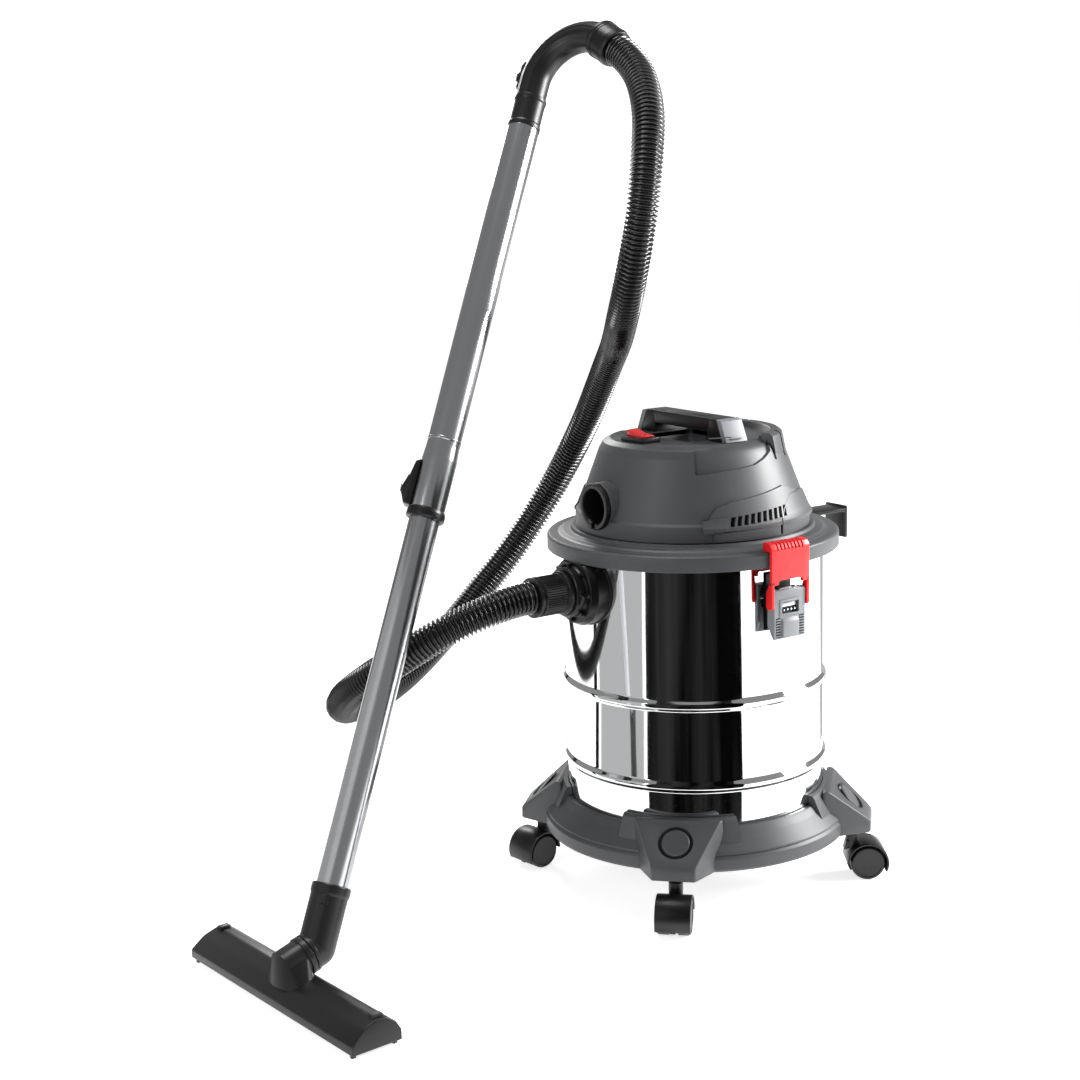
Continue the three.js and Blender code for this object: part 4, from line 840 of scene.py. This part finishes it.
def lever_form(x, z):
    """The lever: a hollow grey plate with a framed window, ribbed dark flanks and a raised tongue."""
    inside = x + 4
    outside = x + 8
    plate = prism([(inside, z - 50), (inside + 1.5, z - 53, 1), (outside, z - 53, 1), (outside, z + 1, 1.6),
                   (inside, z + 2, 0.6)], -22, 22, 0.8)
    window = brick((x, x + 20), (-12, 12), (z - 25, z - 12), 0.8)
    flanks = [brick((outside - 1.6, outside + 4), (side * 16.6 - 3.4, side * 16.6 + 3.4),
                    (z - 51, z - 29), 0.6)
              for side in (-1, 1)]
    plate = carved(plate, [window, *flanks])
    walls = [prism([(x - 4, z - 39, 2), (inside + 1, z - 53), (inside + 1, z + 2), (x - 3, z + 2, 1),
                    (x - 4, z, 1)], y, y + 4, 0.5) for y in (-22, 18)]
    tongue = prism([(outside - 1, z - 52.4), (outside + 2.4, z - 51.4, 1), (outside + 2.8, z - 34, 1.5),
                    (outside - 1, z - 28.4)], -11.6, 11.6, 1.0, 3)
    rim = carved(brick((outside - 1, outside + 1.1), (-14.8, 14.8), (z - 27.6, z - 9.2), 0.6), [
        brick((x, x + 20), (-12, 12), (z - 25, z - 12), 0.8)])
    pale = joined([plate, *walls, tongue, rim])
    back = brick((inside - 0.6, inside + 0.6), (-12.6, 12.6), (z - 25.6, z - 11.4))
    ribs = [brick((outside - 1.8, outside + 0.5), (side * 16.6 - 3.2, side * 16.6 + 3.2),
                  (z - 50 + k * 3, z - 48.6 + k * 3), 0.3) for side in (-1, 1) for k in range(7)]
    beds = [brick((outside - 2, outside - 1.3), (side * 16.6 - 3.4, side * 16.6 + 3.4), (z - 51, z - 29))
            for side in (-1, 1)]
    return joined([pale, *ribs, painted(joined([back, *beds]), 2)])


def bracket_form(x, z):
    """The black bracket riveted to the drum: a curved plate with two ears and the lever's pin."""
    plate = lathe([(150.3, z - 46), (153.3, z - 46, 0.6), (153.3, z + 18, 0.6), (150.3, z + 18)], 10,
                  share=2 * math.degrees(math.asin(17 / 152)) / 360)
    plate = moved(plate, turned(-math.degrees(math.asin(17 / 152))))
    ear = [(151.8, z - 30), (x - 3, z - 12, 3), (x + 3.5, z - 2.4, 2), (x + 3.5, z + 2.2, 2), (x, z + 3.5, 2),
           (x - 3, z + 2, 2), (151.8, z - 5)]
    ears = [prism(ear, y, y + 4, 0.4) for y in (-13, 9)]
    pin = moved(round_bar(2, -21, 21, 24, edge=0.4), shifted(x, 0, z) @ turned(90, "X"))
    rivets = [moved(lathe([(0, 0), (3, 0), (2.2, 1.4, 0.8), (0, 1.6)], 20),
                    shifted(153, 0, z + dz) @ turned(90, "Y")) for dz in (-38, 13)]
    return joined([plate, *ears]), joined([pin, *rivets])


def build_latches(sizes):
    """Two over-centre latches: bracket, lever with its steel cross pin, and the red hook."""
    for name in ("right", "left"):
        way = latch_side(name)
        lever_pin = joint_place(f"latch_{name}_lever")
        hook_pin = joint_place(f"latch_{name}_hook")
        x = abs(lever_pin.x)
        z = lever_pin.z
        hook_x = abs(hook_pin.x)
        plate, pins = bracket_form(x, z)
        finished(f"latch_{name}_base", moved(joined([plate, painted(pins, 1)]), way), "vacuum",
                 "black_plastic", [f"latch_{name}_bracket"],
                 materials=[finish["black_plastic"], finish["pin_steel"]])
        bar = moved(round_bar(2, -20, 20, 24), shifted(hook_x, 0, hook_pin.z) @ turned(90, "X"))
        beads = [moved(lathe([(0, -1.7), (1.2, -1.2), (1.7, 0), (1.2, 1.2), (0, 1.7)], 20),
                       shifted(x + 6, y, z - 21.6)) for y in (-7.5, -2.5, 2.5, 7.5)]
        plate = brick((x + 5.6, x + 6.6), (-10, 10), (z - 17.8, z - 13.2), 0.3)
        lever = joined([lever_form(x, z), painted(joined([bar, plate, *beads]), 1)])
        finished(f"latch_{name}_arm", moved(lever, way), f"lever_{name}", "light_grey_plastic",
                 [f"latch_{name}_lever"], materials=[finish["light_grey_plastic"], finish["pin_steel"],
                                                     finish["black_plastic"]])
        hook = moved(hook_form(hook_x, hook_pin.z), way)
        finished(f"latch_{name}_claw", hook, f"hook_{name}", "red_plastic", [f"latch_{name}_hook"])


# ---- Wand and handle ----------------------------------------------------------------------------

COLLAR_AT = 400.0
WAND_LENGTH = 872.0


def build_tubes(sizes):
    """The two telescopic tubes, the collar between them and the sliding lock."""
    lower = lathe([(16, -22), (17, -22, 0.4), (17, 530, 0.4), (16, 530)], 96)
    dimples = [moved(lathe([(0, -0.9), (2.2, -0.7, 0.6), (1.2, 0.25, 0.3), (0, 0.35)], 20),
                     turned(212) @ shifted(16.7, 0, s) @ turned(90, "Y")) for s in range(30, 380, 37)]
    finished("lower_tube_steel", on_wand(joined([lower, *dimples])), "lower_wand", "tube_chrome",
             ["lower_tube"], smooth=40)
    start = COLLAR_AT + 11.3
    upper = lathe([(18.4, start), (19.4, start, 0.5), (19.4, 468, 3), (18.3, 484, 3),
                   (18.3, WAND_LENGTH, 0.4),
                   (17.3, WAND_LENGTH), (17.3, 484), (18.4, 468)], 96)
    bead = lathe([(18, 489), (18.8, 490, 0.5), (18.8, 492, 0.5), (18, 493)], 96)
    finished("upper_tube_steel", on_wand(joined([upper, bead])), "vacuum", "tube_chrome", ["upper_tube"],
             smooth=40)
    collar = lathe([(17.4, COLLAR_AT), (20.4, COLLAR_AT, 1), (21.4, COLLAR_AT + 2, 1),
                    (21.4, COLLAR_AT + 7, 1),
                    (20.4, COLLAR_AT + 11, 1), (17.4, COLLAR_AT + 11)], 96)
    finished("tube_collar_ring", on_wand(collar), "vacuum", "black_plastic", ["tube_collar"])


def build_tube_lock(sizes):
    """The telescope's lock: a wedge-shaped slide in its housing."""
    near = 19.7
    start = COLLAR_AT + 11.3
    turn = turned(32)
    house = prism([(-near + 1.5, start), (-near - 7, start + 1, 2), (-near - 10.5, start + 9, 3),
                   (-near - 10.5, start + 14, 2), (-near - 4, start + 50, 3), (-near + 1.5, start + 53)],
                  -9.5, 9.5, 1.2, 3)
    pocket = brick((-60, -near - 2.5), (-6.6, 6.6), (start + 9, start + 42))
    saddle = round_bar(near, start - 6, start + 60, 64)
    house = carved(house, [pocket, saddle])
    finished("tube_lock_housing", on_wand(moved(house, turn)), "vacuum", "black_plastic",
             ["tube_latch_housing"])
    key = prism([(-near - 2.8, start + 10), (-near - 12, start + 11.5, 1.5), (-near - 13.6, start + 17, 2),
                 (-near - 8.5, start + 34, 2), (-near - 2.8, start + 35)], -6, 6, 0.7)
    ribs = [brick((-near - 14.2, -near - 9), (-5.4, 5.4), (z, z + 0.9), 0.3)
            for z in (start + 15, start + 17.6, start + 20.2)]
    finished("tube_lock_key", on_wand(moved(joined([key, *ribs]), turn)), "tube_button",
             "light_grey_plastic", ["tube_latch_button"],
             materials=[finish["black_plastic"]])


BEND_START = WAND_LENGTH + 59.0
BEND_RADIUS = 55.0
BEND_ANGLE = 2.154


def bend_frame(angle):
    """The point on the handle's bend at an angle, and the direction there, in wand coordinates."""
    x = BEND_RADIUS * (1 - math.cos(angle))
    z = BEND_START + BEND_RADIUS * math.sin(angle)
    return Vector((x, 0, z)), Vector((math.sin(angle), 0, math.cos(angle)))


def grip_section(radius):
    """The grip's section: round, a little fuller on its outer side, with a flat ridge on each flank."""
    points = []
    for i in range(96):
        angle = TAU * i / 96
        swell = 1 + 0.03 * math.cos(angle - math.pi)
        off_flank = abs(abs(math.degrees(angle if angle < math.pi else angle - TAU)) - 90)
        ridge = 0.8 * math.exp(-((off_flank - 20) / 4.5) ** 2)
        r = radius * swell + ridge
        points.append((r * math.cos(angle), r * math.sin(angle)))
    return points


def build_handle(sizes):
    """The bent handle: sleeve, swept grip, air slider and hose cuff."""
    length = WAND_LENGTH
    sleeve = lathe([(14.4, length - 34), (17, length - 34), (17, length + 0.3), (18.9, length + 0.3, 1),
                    (18.9, length + 5, 1), (17.9, length + 7, 0.6), (17.9, length + 33, 0.6),
                    (18.6, length + 35, 0.6), (18.6, length + 39, 0.8), (14.4, length + 39)], 96)
    clip = prism([(-19.6, length + 8, 1), (-19.6, length + 22, 1), (-16, length + 24), (-16, length + 6)],
                 -4.5, 4.5, 0.6)
    finished("handle_sleeve_moulding", on_wand(joined([sleeve, clip])), "vacuum", "black_plastic",
             ["handle_sleeve"])
    section = bmesh.new()
    loop = [section.verts.new((x, y, length + 39.3)) for x, y in grip_section(17.4)]
    section.faces.new(loop)
    first = bmesh.ops.extrude_face_region(section, geom=section.faces[:])["geom"]
    ends = [v for v in first if isinstance(v, bmesh.types.BMVert)]
    bmesh.ops.translate(section, verts=ends, vec=(0, 0, BEND_START - length - 39.3))
    cap = [f for f in first if isinstance(f, bmesh.types.BMFace)]
    bmesh.ops.spin(section, geom=cap, cent=(BEND_RADIUS, 0, BEND_START), axis=(0, 1, 0),
                   angle=BEND_ANGLE, steps=40)
    bmesh.ops.delete(section, geom=[f for f in cap if f.is_valid], context="FACES_ONLY")
    tidy(section)
    seat = length + 53
    pad = prism([(-15, seat - 6), (-19.0, seat - 1, 1.5), (-19.0, seat + 27, 1.5), (-15, seat + 33)],
                -8.5, 8.5, 0.8)
    finished("handle_grip_moulding", on_wand(joined([section, pad])), "vacuum", "black_plastic",
             ["handle_grip"])
    slider = prism([(-19.5, seat + 8), (-23.6, seat + 9, 1.5), (-24.4, seat + 15, 3), (-22.6, seat + 20.4, 2),
                    (-19.5, seat + 21)], -6.5, 6.5, 1.2, 3)
    ribs = [brick((-25.0, -20), (-6.2, 6.2), (seat + z, seat + z + 1.1), 0.4) for z in (10, 12.4, 14.8, 17.2)]
    thumb = bmesh.new()
    bmesh.ops.create_uvsphere(thumb, u_segments=24, v_segments=16, radius=5.6)
    moved(thumb, shifted(-19.6, 0, seat + 4) @ Matrix.Diagonal((0.8, 1.15, 1, 1)))
    finished("air_slider_key", on_wand(joined([slider, *ribs, thumb])), "air_valve", "black_plastic",
             ["air_slider"])
    place, way = bend_frame(BEND_ANGLE)
    body = lathe([(14.4, 10.3), (19.4, 10.3), (19.4, 0), (21, 0, 1), (22.4, 2, 1), (22.4, 5, 1),
                  (21.6, 6, 0.5),
                  (21.9, 26, 1), (20.8, 31, 1.4), (14.4, 31)], 96)
    bands = [lathe([(20, z), (22.3, z, 0.3), (22.3, z + 0.9, 0.3), (20, z + 0.9)], 96) for z in (8.5, 24.5)]
    cuff = moved(joined([body, *bands]), along(way, place - 10 * way, Vector((0, 1, 0))))
    finished("handle_cuff_moulding", on_wand(cuff), "vacuum", "black_plastic", ["handle_cuff"])


# ---- Hose ---------------------------------------------------------------------------------------

HOSE_WIDTH = 37.0
HOSE_RIB = 5.2
# The hose's centreline in millimetres from the drum's axis. A least-squares fit made it, rounded to 1 mm.
HOSE_ROUTE = (
    (-32, -42, 927), (2, -56, 888), (21, -72, 841), (25, -82, 789), (12, -83, 737), (-14, -75, 692),
    (-51, -57, 658), (-93, -32, 636), (-136, -7, 616), (-178, 11, 588), (-217, 24, 554), (-254, 32, 515),
    (-286, 31, 473), (-309, 17, 427), (-323, -8, 382), (-330, -41, 340), (-334, -78, 302), (-331, -119, 267),
    (-322, -163, 238), (-306, -209, 216), (-284, -256, 204), (-255, -301, 203), (-222, -342, 211),
    (-181, -371, 229), (-136, -385, 254), (-91, -381, 282), (-51, -360, 311), (-22, -324, 339),
    (-5, -278, 358),
)


def smooth_route(points):
    """A centripetal curve through the points, cut into short steps."""
    points = [2 * points[0] - points[1], *points, 2 * points[-1] - points[-2]]
    route = []
    for p0, p1, p2, p3 in zip(points, points[1:], points[2:], points[3:]):
        t0 = 0.0
        t1 = t0 + (p1 - p0).length ** 0.5
        t2 = t1 + (p2 - p1).length ** 0.5
        t3 = t2 + (p3 - p2).length ** 0.5
        for k in range(24):
            t = t1 + (t2 - t1) * k / 24
            a = p0.lerp(p1, (t - t0) / (t1 - t0))
            b = p1.lerp(p2, (t - t1) / (t2 - t1))
            c = p2.lerp(p3, (t - t2) / (t3 - t2))
            d = a.lerp(b, (t - t0) / (t2 - t0))
            e = b.lerp(c, (t - t1) / (t3 - t1))
            route.append(d.lerp(e, (t - t1) / (t2 - t1)))
    route.append(points[-2])
    return route


def evenly(route, step):
    """The route again, with points a fixed step apart."""
    lengths = [0.0]
    for a, b in zip(route, route[1:]):
        lengths.append(lengths[-1] + (b - a).length)
    count = round(lengths[-1] / step)
    spaced = []
    j = 0
    for i in range(count + 1):
        want = lengths[-1] * i / count
        while j < len(route) - 2 and lengths[j + 1] < want:
            j += 1
        share = (want - lengths[j]) / (lengths[j + 1] - lengths[j])
        spaced.append(route[j].lerp(route[j + 1], min(max(share, 0), 1)))
    return spaced, lengths[-1]


def build_hose(sizes):
    """The corrugated hose, from the handle's cuff to the connector in the inlet."""
    to_drum = along(WAND_UP, FOOT, BEND_SIDE)
    place, way = bend_frame(BEND_ANGLE)
    start = to_drum @ (place + 21.3 * way)
    heading = (to_drum.to_3x3() @ way).normalized()
    end = Vector((0, -225.3, INLET_Z))
    points = [start, start + 12 * heading, *map(Vector, HOSE_ROUTE), end + Vector((0, -12, 0)), end]
    per_rib = 6
    spaced, length = evenly(smooth_route(points), HOSE_RIB / per_rib)
    wave = (0.76, 0.82, 0.96, 1.0, 0.96, 0.82)
    curve = bpy.data.curves.new("corrugated_hose", "CURVE")
    curve.dimensions = "3D"
    curve.bevel_depth = HOSE_WIDTH / 2 * MM
    curve.bevel_resolution = 5
    curve.use_fill_caps = True
    spline = curve.splines.new("POLY")
    spline.points.add(len(spaced) - 1)
    spline.use_smooth = True
    for i, (point, centre) in enumerate(zip(spline.points, spaced)):
        point.co = (*(TO_FRAME @ centre), 1)
        point.radius = wave[i % per_rib]
    curve.materials.append(finish["hose_plastic"])
    hose = bpy.data.objects.new("corrugated_hose", curve)
    bpy.context.scene.collection.objects.link(hose)
    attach(hose, "vacuum")
    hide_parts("hose")


# ---- Floor nozzle -------------------------------------------------------------------------------

NOZZLE_TURN = math.atan2(-STUB.x, STUB.y)
NOZZLE_HALF = 157.0
SEAM = 12.0


def nozzle_matrix():
    """The place of the nozzle's own frame: its length along X, its front towards -Y."""
    middle = Vector((41, -558, 0))
    return Matrix.Translation(middle) @ Matrix.Rotation(NOZZLE_TURN, 4, "Z")


def build_elbow(sizes):
    """The elbow: a ball-shaped bend with a neck ring that grips the lower tube."""
    radius = 19.8
    stub = moved(round_bar(radius, -SEAM, 0, 64), along(STUB, PIVOT))
    rise = moved(round_bar(radius, 0, 40, 64), along(WAND_UP, PIVOT))
    knee = bmesh.new()
    bmesh.ops.create_uvsphere(knee, u_segments=64, v_segments=32, radius=radius)
    moved(knee, Matrix.Translation(PIVOT))
    behind = moved(round_bar(60, -80, -SEAM, 16), along(STUB, PIVOT))
    knee = carved(knee, [behind])
    neck = on_wand(lathe([(17.3, -30), (19.8, -30), (19.8, -12, 1), (20.8, -9, 1), (20.8, -1.5, 1),
                          (19.8, 0, 0.6), (17.3, 0)], 96))
    hoop = moved(lathe([(19, -SEAM), (20.8, -SEAM, 0.5), (20.8, -SEAM + 4, 1), (19, -SEAM + 5)], 64),
                 along(STUB, PIVOT))
    clip = on_wand(moved(prism([(18.5, -22), (21.2, -21, 1), (21.2, -12, 1), (18.5, -11)], -4, 4, 0.6),
                         turned(-60)))
    finished("nozzle_elbow_moulding", joined([stub, rise, knee, neck, hoop, clip]), "elbow",
             "black_plastic", ["nozzle_elbow"])


def nozzle_profile():
    """The shell across its length: a tall rear edge, a crown, and a long slope to the front."""
    return [(-29, 5), (29, 5), (29, 16, 3), (24, 25, 7), (14, 32.6, 10), (3, 33.2, 14), (-14, 27.5, 20),
            (-29, 15, 4)]


def flared_foot(place):
    """The swelling that joins the stub to the shell: the stub's rings, drawn out to an oval on the shell."""
    foot = bmesh.new()
    stub = along(STUB, PIVOT)
    centre = place.inverted() @ (stub @ Vector((0, 0, -34)))
    for i in range(72):
        across, up = math.cos(TAU * i / 72), math.sin(TAU * i / 72)
        for z in (-SEAM - 9, -42):
            foot.verts.new(stub @ Vector((19.7 * across, 19.7 * up, z)))
        foot.verts.new(place @ Vector((centre.x + 33 * across, centre.y * 0.5 + 20 * up, 24)))
    bmesh.ops.convex_hull(foot, input=foot.verts[:])
    return tidy(foot)


def build_nozzle(sizes):
    """The floor nozzle: a crowned shell with a flared stub, clips, feet and two strips."""
    place = nozzle_matrix()
    shell = moved(prism(nozzle_profile(), -NOZZLE_HALF, NOZZLE_HALF), turned(90))
    half = NOZZLE_HALF
    ends = [prism([(way * (half - 4), 40), (way * (half + 20), 40), (way * (half + 20), -5),
                   (way * half, -5), (way * half, 12)], -60, 60) for way in (-1, 1)]
    shell = bevelled(carved(shell, ends), 1.4, 3, 35)
    hollow = moved(prism([(-26.6, -4), (26.6, -4), (26.6, 14), (14, 28.6), (-12, 21), (-26.6, 12)],
                         -half + 16, half - 16), turned(90))
    shell = carved(shell, [hollow])
    feet = [brick((way * (half - 7) - 2, way * (half - 7) + 2), (y - 2.5, y + 2.5), (0.6, 8), 0.6)
            for way in (-1, 1) for y in (-24, 24)]
    clips = [brick((way * (half - 11) - 4, way * (half - 11) + 4), (0, 13), (27, 35.6), 1.2, 3)
             for way in (-1, 1)]
    top = moved(joined([shell, *feet, *clips]), place)
    tube = moved(lathe([(0, -42), (19.8, -42), (19.8, -SEAM - 0.5, 0.6), (0, -SEAM - 0.5)], 64),
                 along(STUB, PIVOT))
    collar = moved(lathe([(19, -SEAM - 8), (21, -SEAM - 7, 1), (21, -SEAM - 0.9, 0.6),
                          (19, -SEAM - 0.9)], 64),
                   along(STUB, PIVOT))
    below = moved(prism([(-26.6, -20), (26.6, -20), (26.6, 13), (14, 27), (-12, 19.5), (-26.6, 10)],
                        -half, half), place @ turned(90))
    tube = carved(tube, [below])
    finished("nozzle_shell", joined([top, tube, collar, flared_foot(place)]), "nozzle", "black_plastic",
             ["nozzle_body"])
    blade = brick((-half + 18, half - 18), (-20.4, -17.2), (0.2, 13.5), 0.5)
    teeth = [brick((x, x + 5), (-21.2, -20.2), (0.4, 8), 0.3)
             for x in range(int(-half) + 22, int(half) - 24, 11)]
    finished("nozzle_rubber_blade", moved(joined([blade, *teeth]), place), "nozzle", "rubber",
             ["nozzle_strip_front"])
    holder = brick((-half + 18, half - 18), (16.2, 21.2), (7, 13.8), 0.5)
    tufts = []
    for i in range(68):
        x = -half + 21 + i * (2 * half - 42) / 67
        tufts.append(moved(round_bar(1.5, 0.2, 8, 6, top=1.0), shifted(x, 18.7, 0)))
    finished("nozzle_brush", moved(joined([holder, *tufts]), place), "nozzle", "rubber",
             ["nozzle_strip_rear"])


# ---- Inner pieces -------------------------------------------------------------------------------

INNER = ("inlet_lock_nut", "lid_gasket", "fan_housing", "impeller", "motor", "float_cage", "float_ball",
         "filter_sleeve", "filter_retainer", "cord_gland")


def dress_inner(sizes):
    """Gives the CAD pieces inside the drum and the head their finishes."""
    slots = {row["node"]: row["material_slot"] for row in frame["record"]["subparts"]}
    for name in INNER:
        mesh = frame["nodes"][name].data
        mesh.materials.clear()
        mesh.materials.append(finish[slots[name]])


# ---- Stage --------------------------------------------------------------------------------------

# The camera's place in metres from the drum's axis, its directions and its lens, from a fitted camera.
CAMERA_PLACE = (1.7062, -1.3330, 0.8388)
CAMERA_RIGHT = (0.5538, 0.8322, -0.0274)
CAMERA_UP = (-0.1490, 0.1314, 0.9801)
CAMERA_LENS = 63.33


def flat_finish(name, colour, roughness=0.9, glow=0.0):
    """A plain studio surface."""
    material, _, shader = blank(name, Base_Color=linear(colour), Roughness=roughness)
    shader.inputs["Emission Color"].default_value = linear(colour)
    shader.inputs["Emission Strength"].default_value = glow
    shader.inputs["Specular IOR Level"].default_value = 0.0
    return material


def stage_object(name, form, material):
    mesh = bpy.data.meshes.new(name)
    form.to_mesh(mesh)
    form.free()
    mesh.materials.append(material)
    made = bpy.data.objects.new(name, mesh)
    bpy.context.scene.collection.objects.link(made)
    return made


def reflection_streak_glow():
    """Black cloth hung in folds, so that its reflection isn't one flat tone."""
    material, tree, shader = blank("reflection_streak_glow", Roughness=1.0, Specular_IOR_Level=0.0)
    where = add(tree, "ShaderNodeTexCoord").outputs["Object"]
    hung = add(tree, "ShaderNodeMapping", {"Scale": (1.0, 1.0, 0.12)}, {"Vector": where})
    painted_streaks = add(tree, "ShaderNodeTexNoise", {"Scale": 14.0, "Detail": 4.0},
                {"Vector": hung.outputs["Vector"]})
    tones = add(tree, "ShaderNodeValToRGB", links={"Fac": painted_streaks.outputs["Fac"]})
    tones.color_ramp.elements[0].position = 0.38
    tones.color_ramp.elements[0].color = linear("#060606")
    tones.color_ramp.elements[1].position = 0.72
    tones.color_ramp.elements[1].color = linear("#3C3C3C")
    # Painted light: the card glows in these streaky tones instead of being lit, and the steel shows them as a
    # streaked reflection.
    tree.links.new(tones.outputs["Color"], shader.inputs["Emission Color"])
    shader.inputs["Base Color"].default_value = linear("#000000")
    shader.inputs["Emission Strength"].default_value = 1.0
    return material


def dark_card(name, azimuth, half_span, radius, low, high, glow_finish):
    """A curved black card that only reflections see."""
    form = bmesh.new()
    first = math.radians(azimuth - half_span - 90)
    verts = [form.verts.new((radius * math.cos(first), radius * math.sin(first), z)) for z in (low, high)]
    edge = form.edges.new(verts)
    bmesh.ops.spin(form, geom=[*verts, edge], cent=(0, 0, 0), axis=(0, 0, 1),
                   angle=math.radians(2 * half_span), steps=32)
    bmesh.ops.translate(form, verts=form.verts, vec=AXIS)
    card = stage_object(name, form, glow_finish)
    card.visible_camera = False
    card.visible_shadow = False
    card.visible_diffuse = False
    card.visible_transmission = False
    return card


def area_light(name, place, target, size, power):
    lamp = bpy.data.lights.new(name, "AREA")
    lamp.shape = "DISK"
    lamp.size = size
    lamp.energy = power
    made = bpy.data.objects.new(name, lamp)
    bpy.context.scene.collection.objects.link(made)
    made.location = AXIS + Vector(place)
    aim = (AXIS + Vector(target)) - made.location
    made.rotation_euler = aim.to_track_quat("-Z", "Y").to_euler()
    return made


def build_stage(sizes):
    """Camera, pale floor, white surroundings, soft lights, and black cards for the steel to reflect."""
    camera = bpy.data.cameras.new("view")
    camera.lens = sizes.lens
    camera.sensor_width = 36
    camera.clip_end = 50
    made = bpy.data.objects.new("view", camera)
    bpy.context.scene.collection.objects.link(made)
    right = Vector(CAMERA_RIGHT).normalized()
    up = Vector(CAMERA_UP)
    up = (up - up.dot(right) * right).normalized()
    back = right.cross(up)
    turn = Matrix((right, up, back)).transposed().to_4x4()
    made.matrix_world = Matrix.Translation(AXIS + Vector(CAMERA_PLACE)) @ turn
    bpy.context.scene.camera = made

    floor = bmesh.new()
    bmesh.ops.create_grid(floor, x_segments=1, y_segments=1, size=12)
    stage_object("floor", floor, flat_finish("pale_floor", "#F6F6F6", 0.9, sizes.floor_glow))

    world = bpy.data.worlds.new("white_room")
    world.use_nodes = True
    world.node_tree.nodes["Background"].inputs["Color"].default_value = linear("#FFFFFF")
    world.node_tree.nodes["Background"].inputs["Strength"].default_value = sizes.room_light
    bpy.context.scene.world = world
    bpy.context.scene.view_settings.view_transform = "Standard"

    room = bmesh.new()
    bmesh.ops.create_uvsphere(room, u_segments=32, v_segments=16, radius=11)
    walls = stage_object("white_walls", room, flat_finish("white_wall", "#FFFFFF", 0.9, 1.0))
    walls.visible_diffuse = False
    walls.visible_glossy = False
    walls.visible_shadow = False
    walls.visible_transmission = False

    area_light("key", (1.0, 2.0, 1.25), (0, 0, 0.45), 1.1, sizes.key_power)
    area_light("fill", (0.6, -2.4, 1.3), (0, -0.1, 0.4), 0.9, sizes.key_power * 0.12)
    area_light("top", (-0.4, -0.2, 2.6), (0, -0.1, 0.3), 1.0, sizes.key_power * 0.2)
    area_light("back", (-2.2, 0.6, 1.4), (0, 0, 0.5), 0.8, sizes.key_power * 0.14)
    # These cards glow and only reflections see them: painted reflection that gives the steel drum its dark band,
    # grey bands and thin dark line.
    black = reflection_streak_glow()
    pale = flat_finish("pale_card", "#000000", 0.9, 0.0)
    pale.node_tree.nodes["Principled BSDF"].inputs["Emission Color"].default_value = linear("#C6C6C6")
    pale.node_tree.nodes["Principled BSDF"].inputs["Emission Strength"].default_value = 1.0
    dark_card("front_card", 52, 33.5, 0.36, -0.02, 0.6, black)
    dark_card("rear_card", 226, 36, 0.6, -0.02, 0.62, pale)
    dark_card("left_card", 351, 21, 0.64, -0.02, 0.62, pale)
    dark_card("left_line", 326, 2.0, 0.6, -0.02, 0.62, black)


# ---- Add-on -------------------------------------------------------------------------------------

class VacuumSizes(bpy.types.PropertyGroup):
    """Sizes that shape the vacuum's visible pieces, and its camera and light."""
    bead_rise: FloatProperty(name="Bead rise", description="How far the drum's beads stand out, in mm",
                             default=3.7, min=0.5, max=6)
    slot_count: IntProperty(name="Slots", description="Cooling slots on each side", default=10, min=3, max=12)
    lens: FloatProperty(name="Lens", description="Focal length in mm", default=CAMERA_LENS)
    room_light: FloatProperty(name="Room light", description="Strength of the white room", default=0.3)
    floor_glow: FloatProperty(name="Floor glow", description="Light the floor gives off", default=0.8)
    key_power: FloatProperty(name="Key light", description="Power of the main light in watts", default=125.0)


BUILDERS = (
    ("stage", "Stage", build_stage),
    ("hose", "Hose", build_hose),
    ("drum", "Drum", build_drum),
    ("inlet", "Inlet", build_inlet),
    ("connector", "Hose connector", build_connector),
    ("base", "Castor base", build_base),
    ("castors", "Castors", build_castors),
    ("lid", "Lid base", build_lid),
    ("cover", "Motor cover", build_cover),
    ("port", "Blower port", build_port),
    ("grip", "Carry handle", build_grip),
    ("switch", "Power switch", build_switch),
    ("cord_hook", "Cord hook", build_cord_hook),
    ("latches", "Latches", build_latches),
    ("tubes", "Telescopic tubes", build_tubes),
    ("tube_lock", "Tube lock", build_tube_lock),
    ("handle", "Bent handle", build_handle),
    ("elbow", "Nozzle elbow", build_elbow),
    ("nozzle", "Floor nozzle", build_nozzle),
    ("inner", "Inner pieces", dress_inner),
)


def make_operator(name, label, build):
    """The operator that builds one piece or group of like pieces."""

    def execute(self, context):
        build(context.scene.vacuum_sizes)
        return {"FINISHED"}

    return type("VACUUM_OT_" + name, (bpy.types.Operator,), {
        "__doc__": build.__doc__,
        "bl_idname": "vacuum." + name,
        "bl_label": label,
        "bl_options": {"REGISTER", "UNDO"},
        "execute": execute,
    })


OPERATORS = [make_operator(*row) for row in BUILDERS]


class VACUUM_PT_pieces(bpy.types.Panel):
    """Lists the vacuum's sizes and its build steps."""
    bl_label = "Vacuum"
    bl_space_type = "VIEW_3D"
    bl_region_type = "UI"
    bl_category = "Vacuum"

    def draw(self, context):
        sizes = context.scene.vacuum_sizes
        for name in VacuumSizes.__annotations__:
            self.layout.prop(sizes, name)
        for operator in OPERATORS:
            self.layout.operator(operator.bl_idname)


CLASSES = (VacuumSizes, *OPERATORS, VACUUM_PT_pieces)


def register():
    for item in CLASSES:
        bpy.utils.register_class(item)
    bpy.types.Scene.vacuum_sizes = PointerProperty(type=VacuumSizes)


def unregister():
    del bpy.types.Scene.vacuum_sizes
    for item in reversed(CLASSES):
        bpy.utils.unregister_class(item)


def main():
    """Builds every piece in order and writes both boxes."""
    register()
    finish.update(make_finishes())
    for operator in OPERATORS:
        getattr(bpy.ops.vacuum, operator.bl_idname.split(".")[1])()


if __name__ == "__main__":
    main()
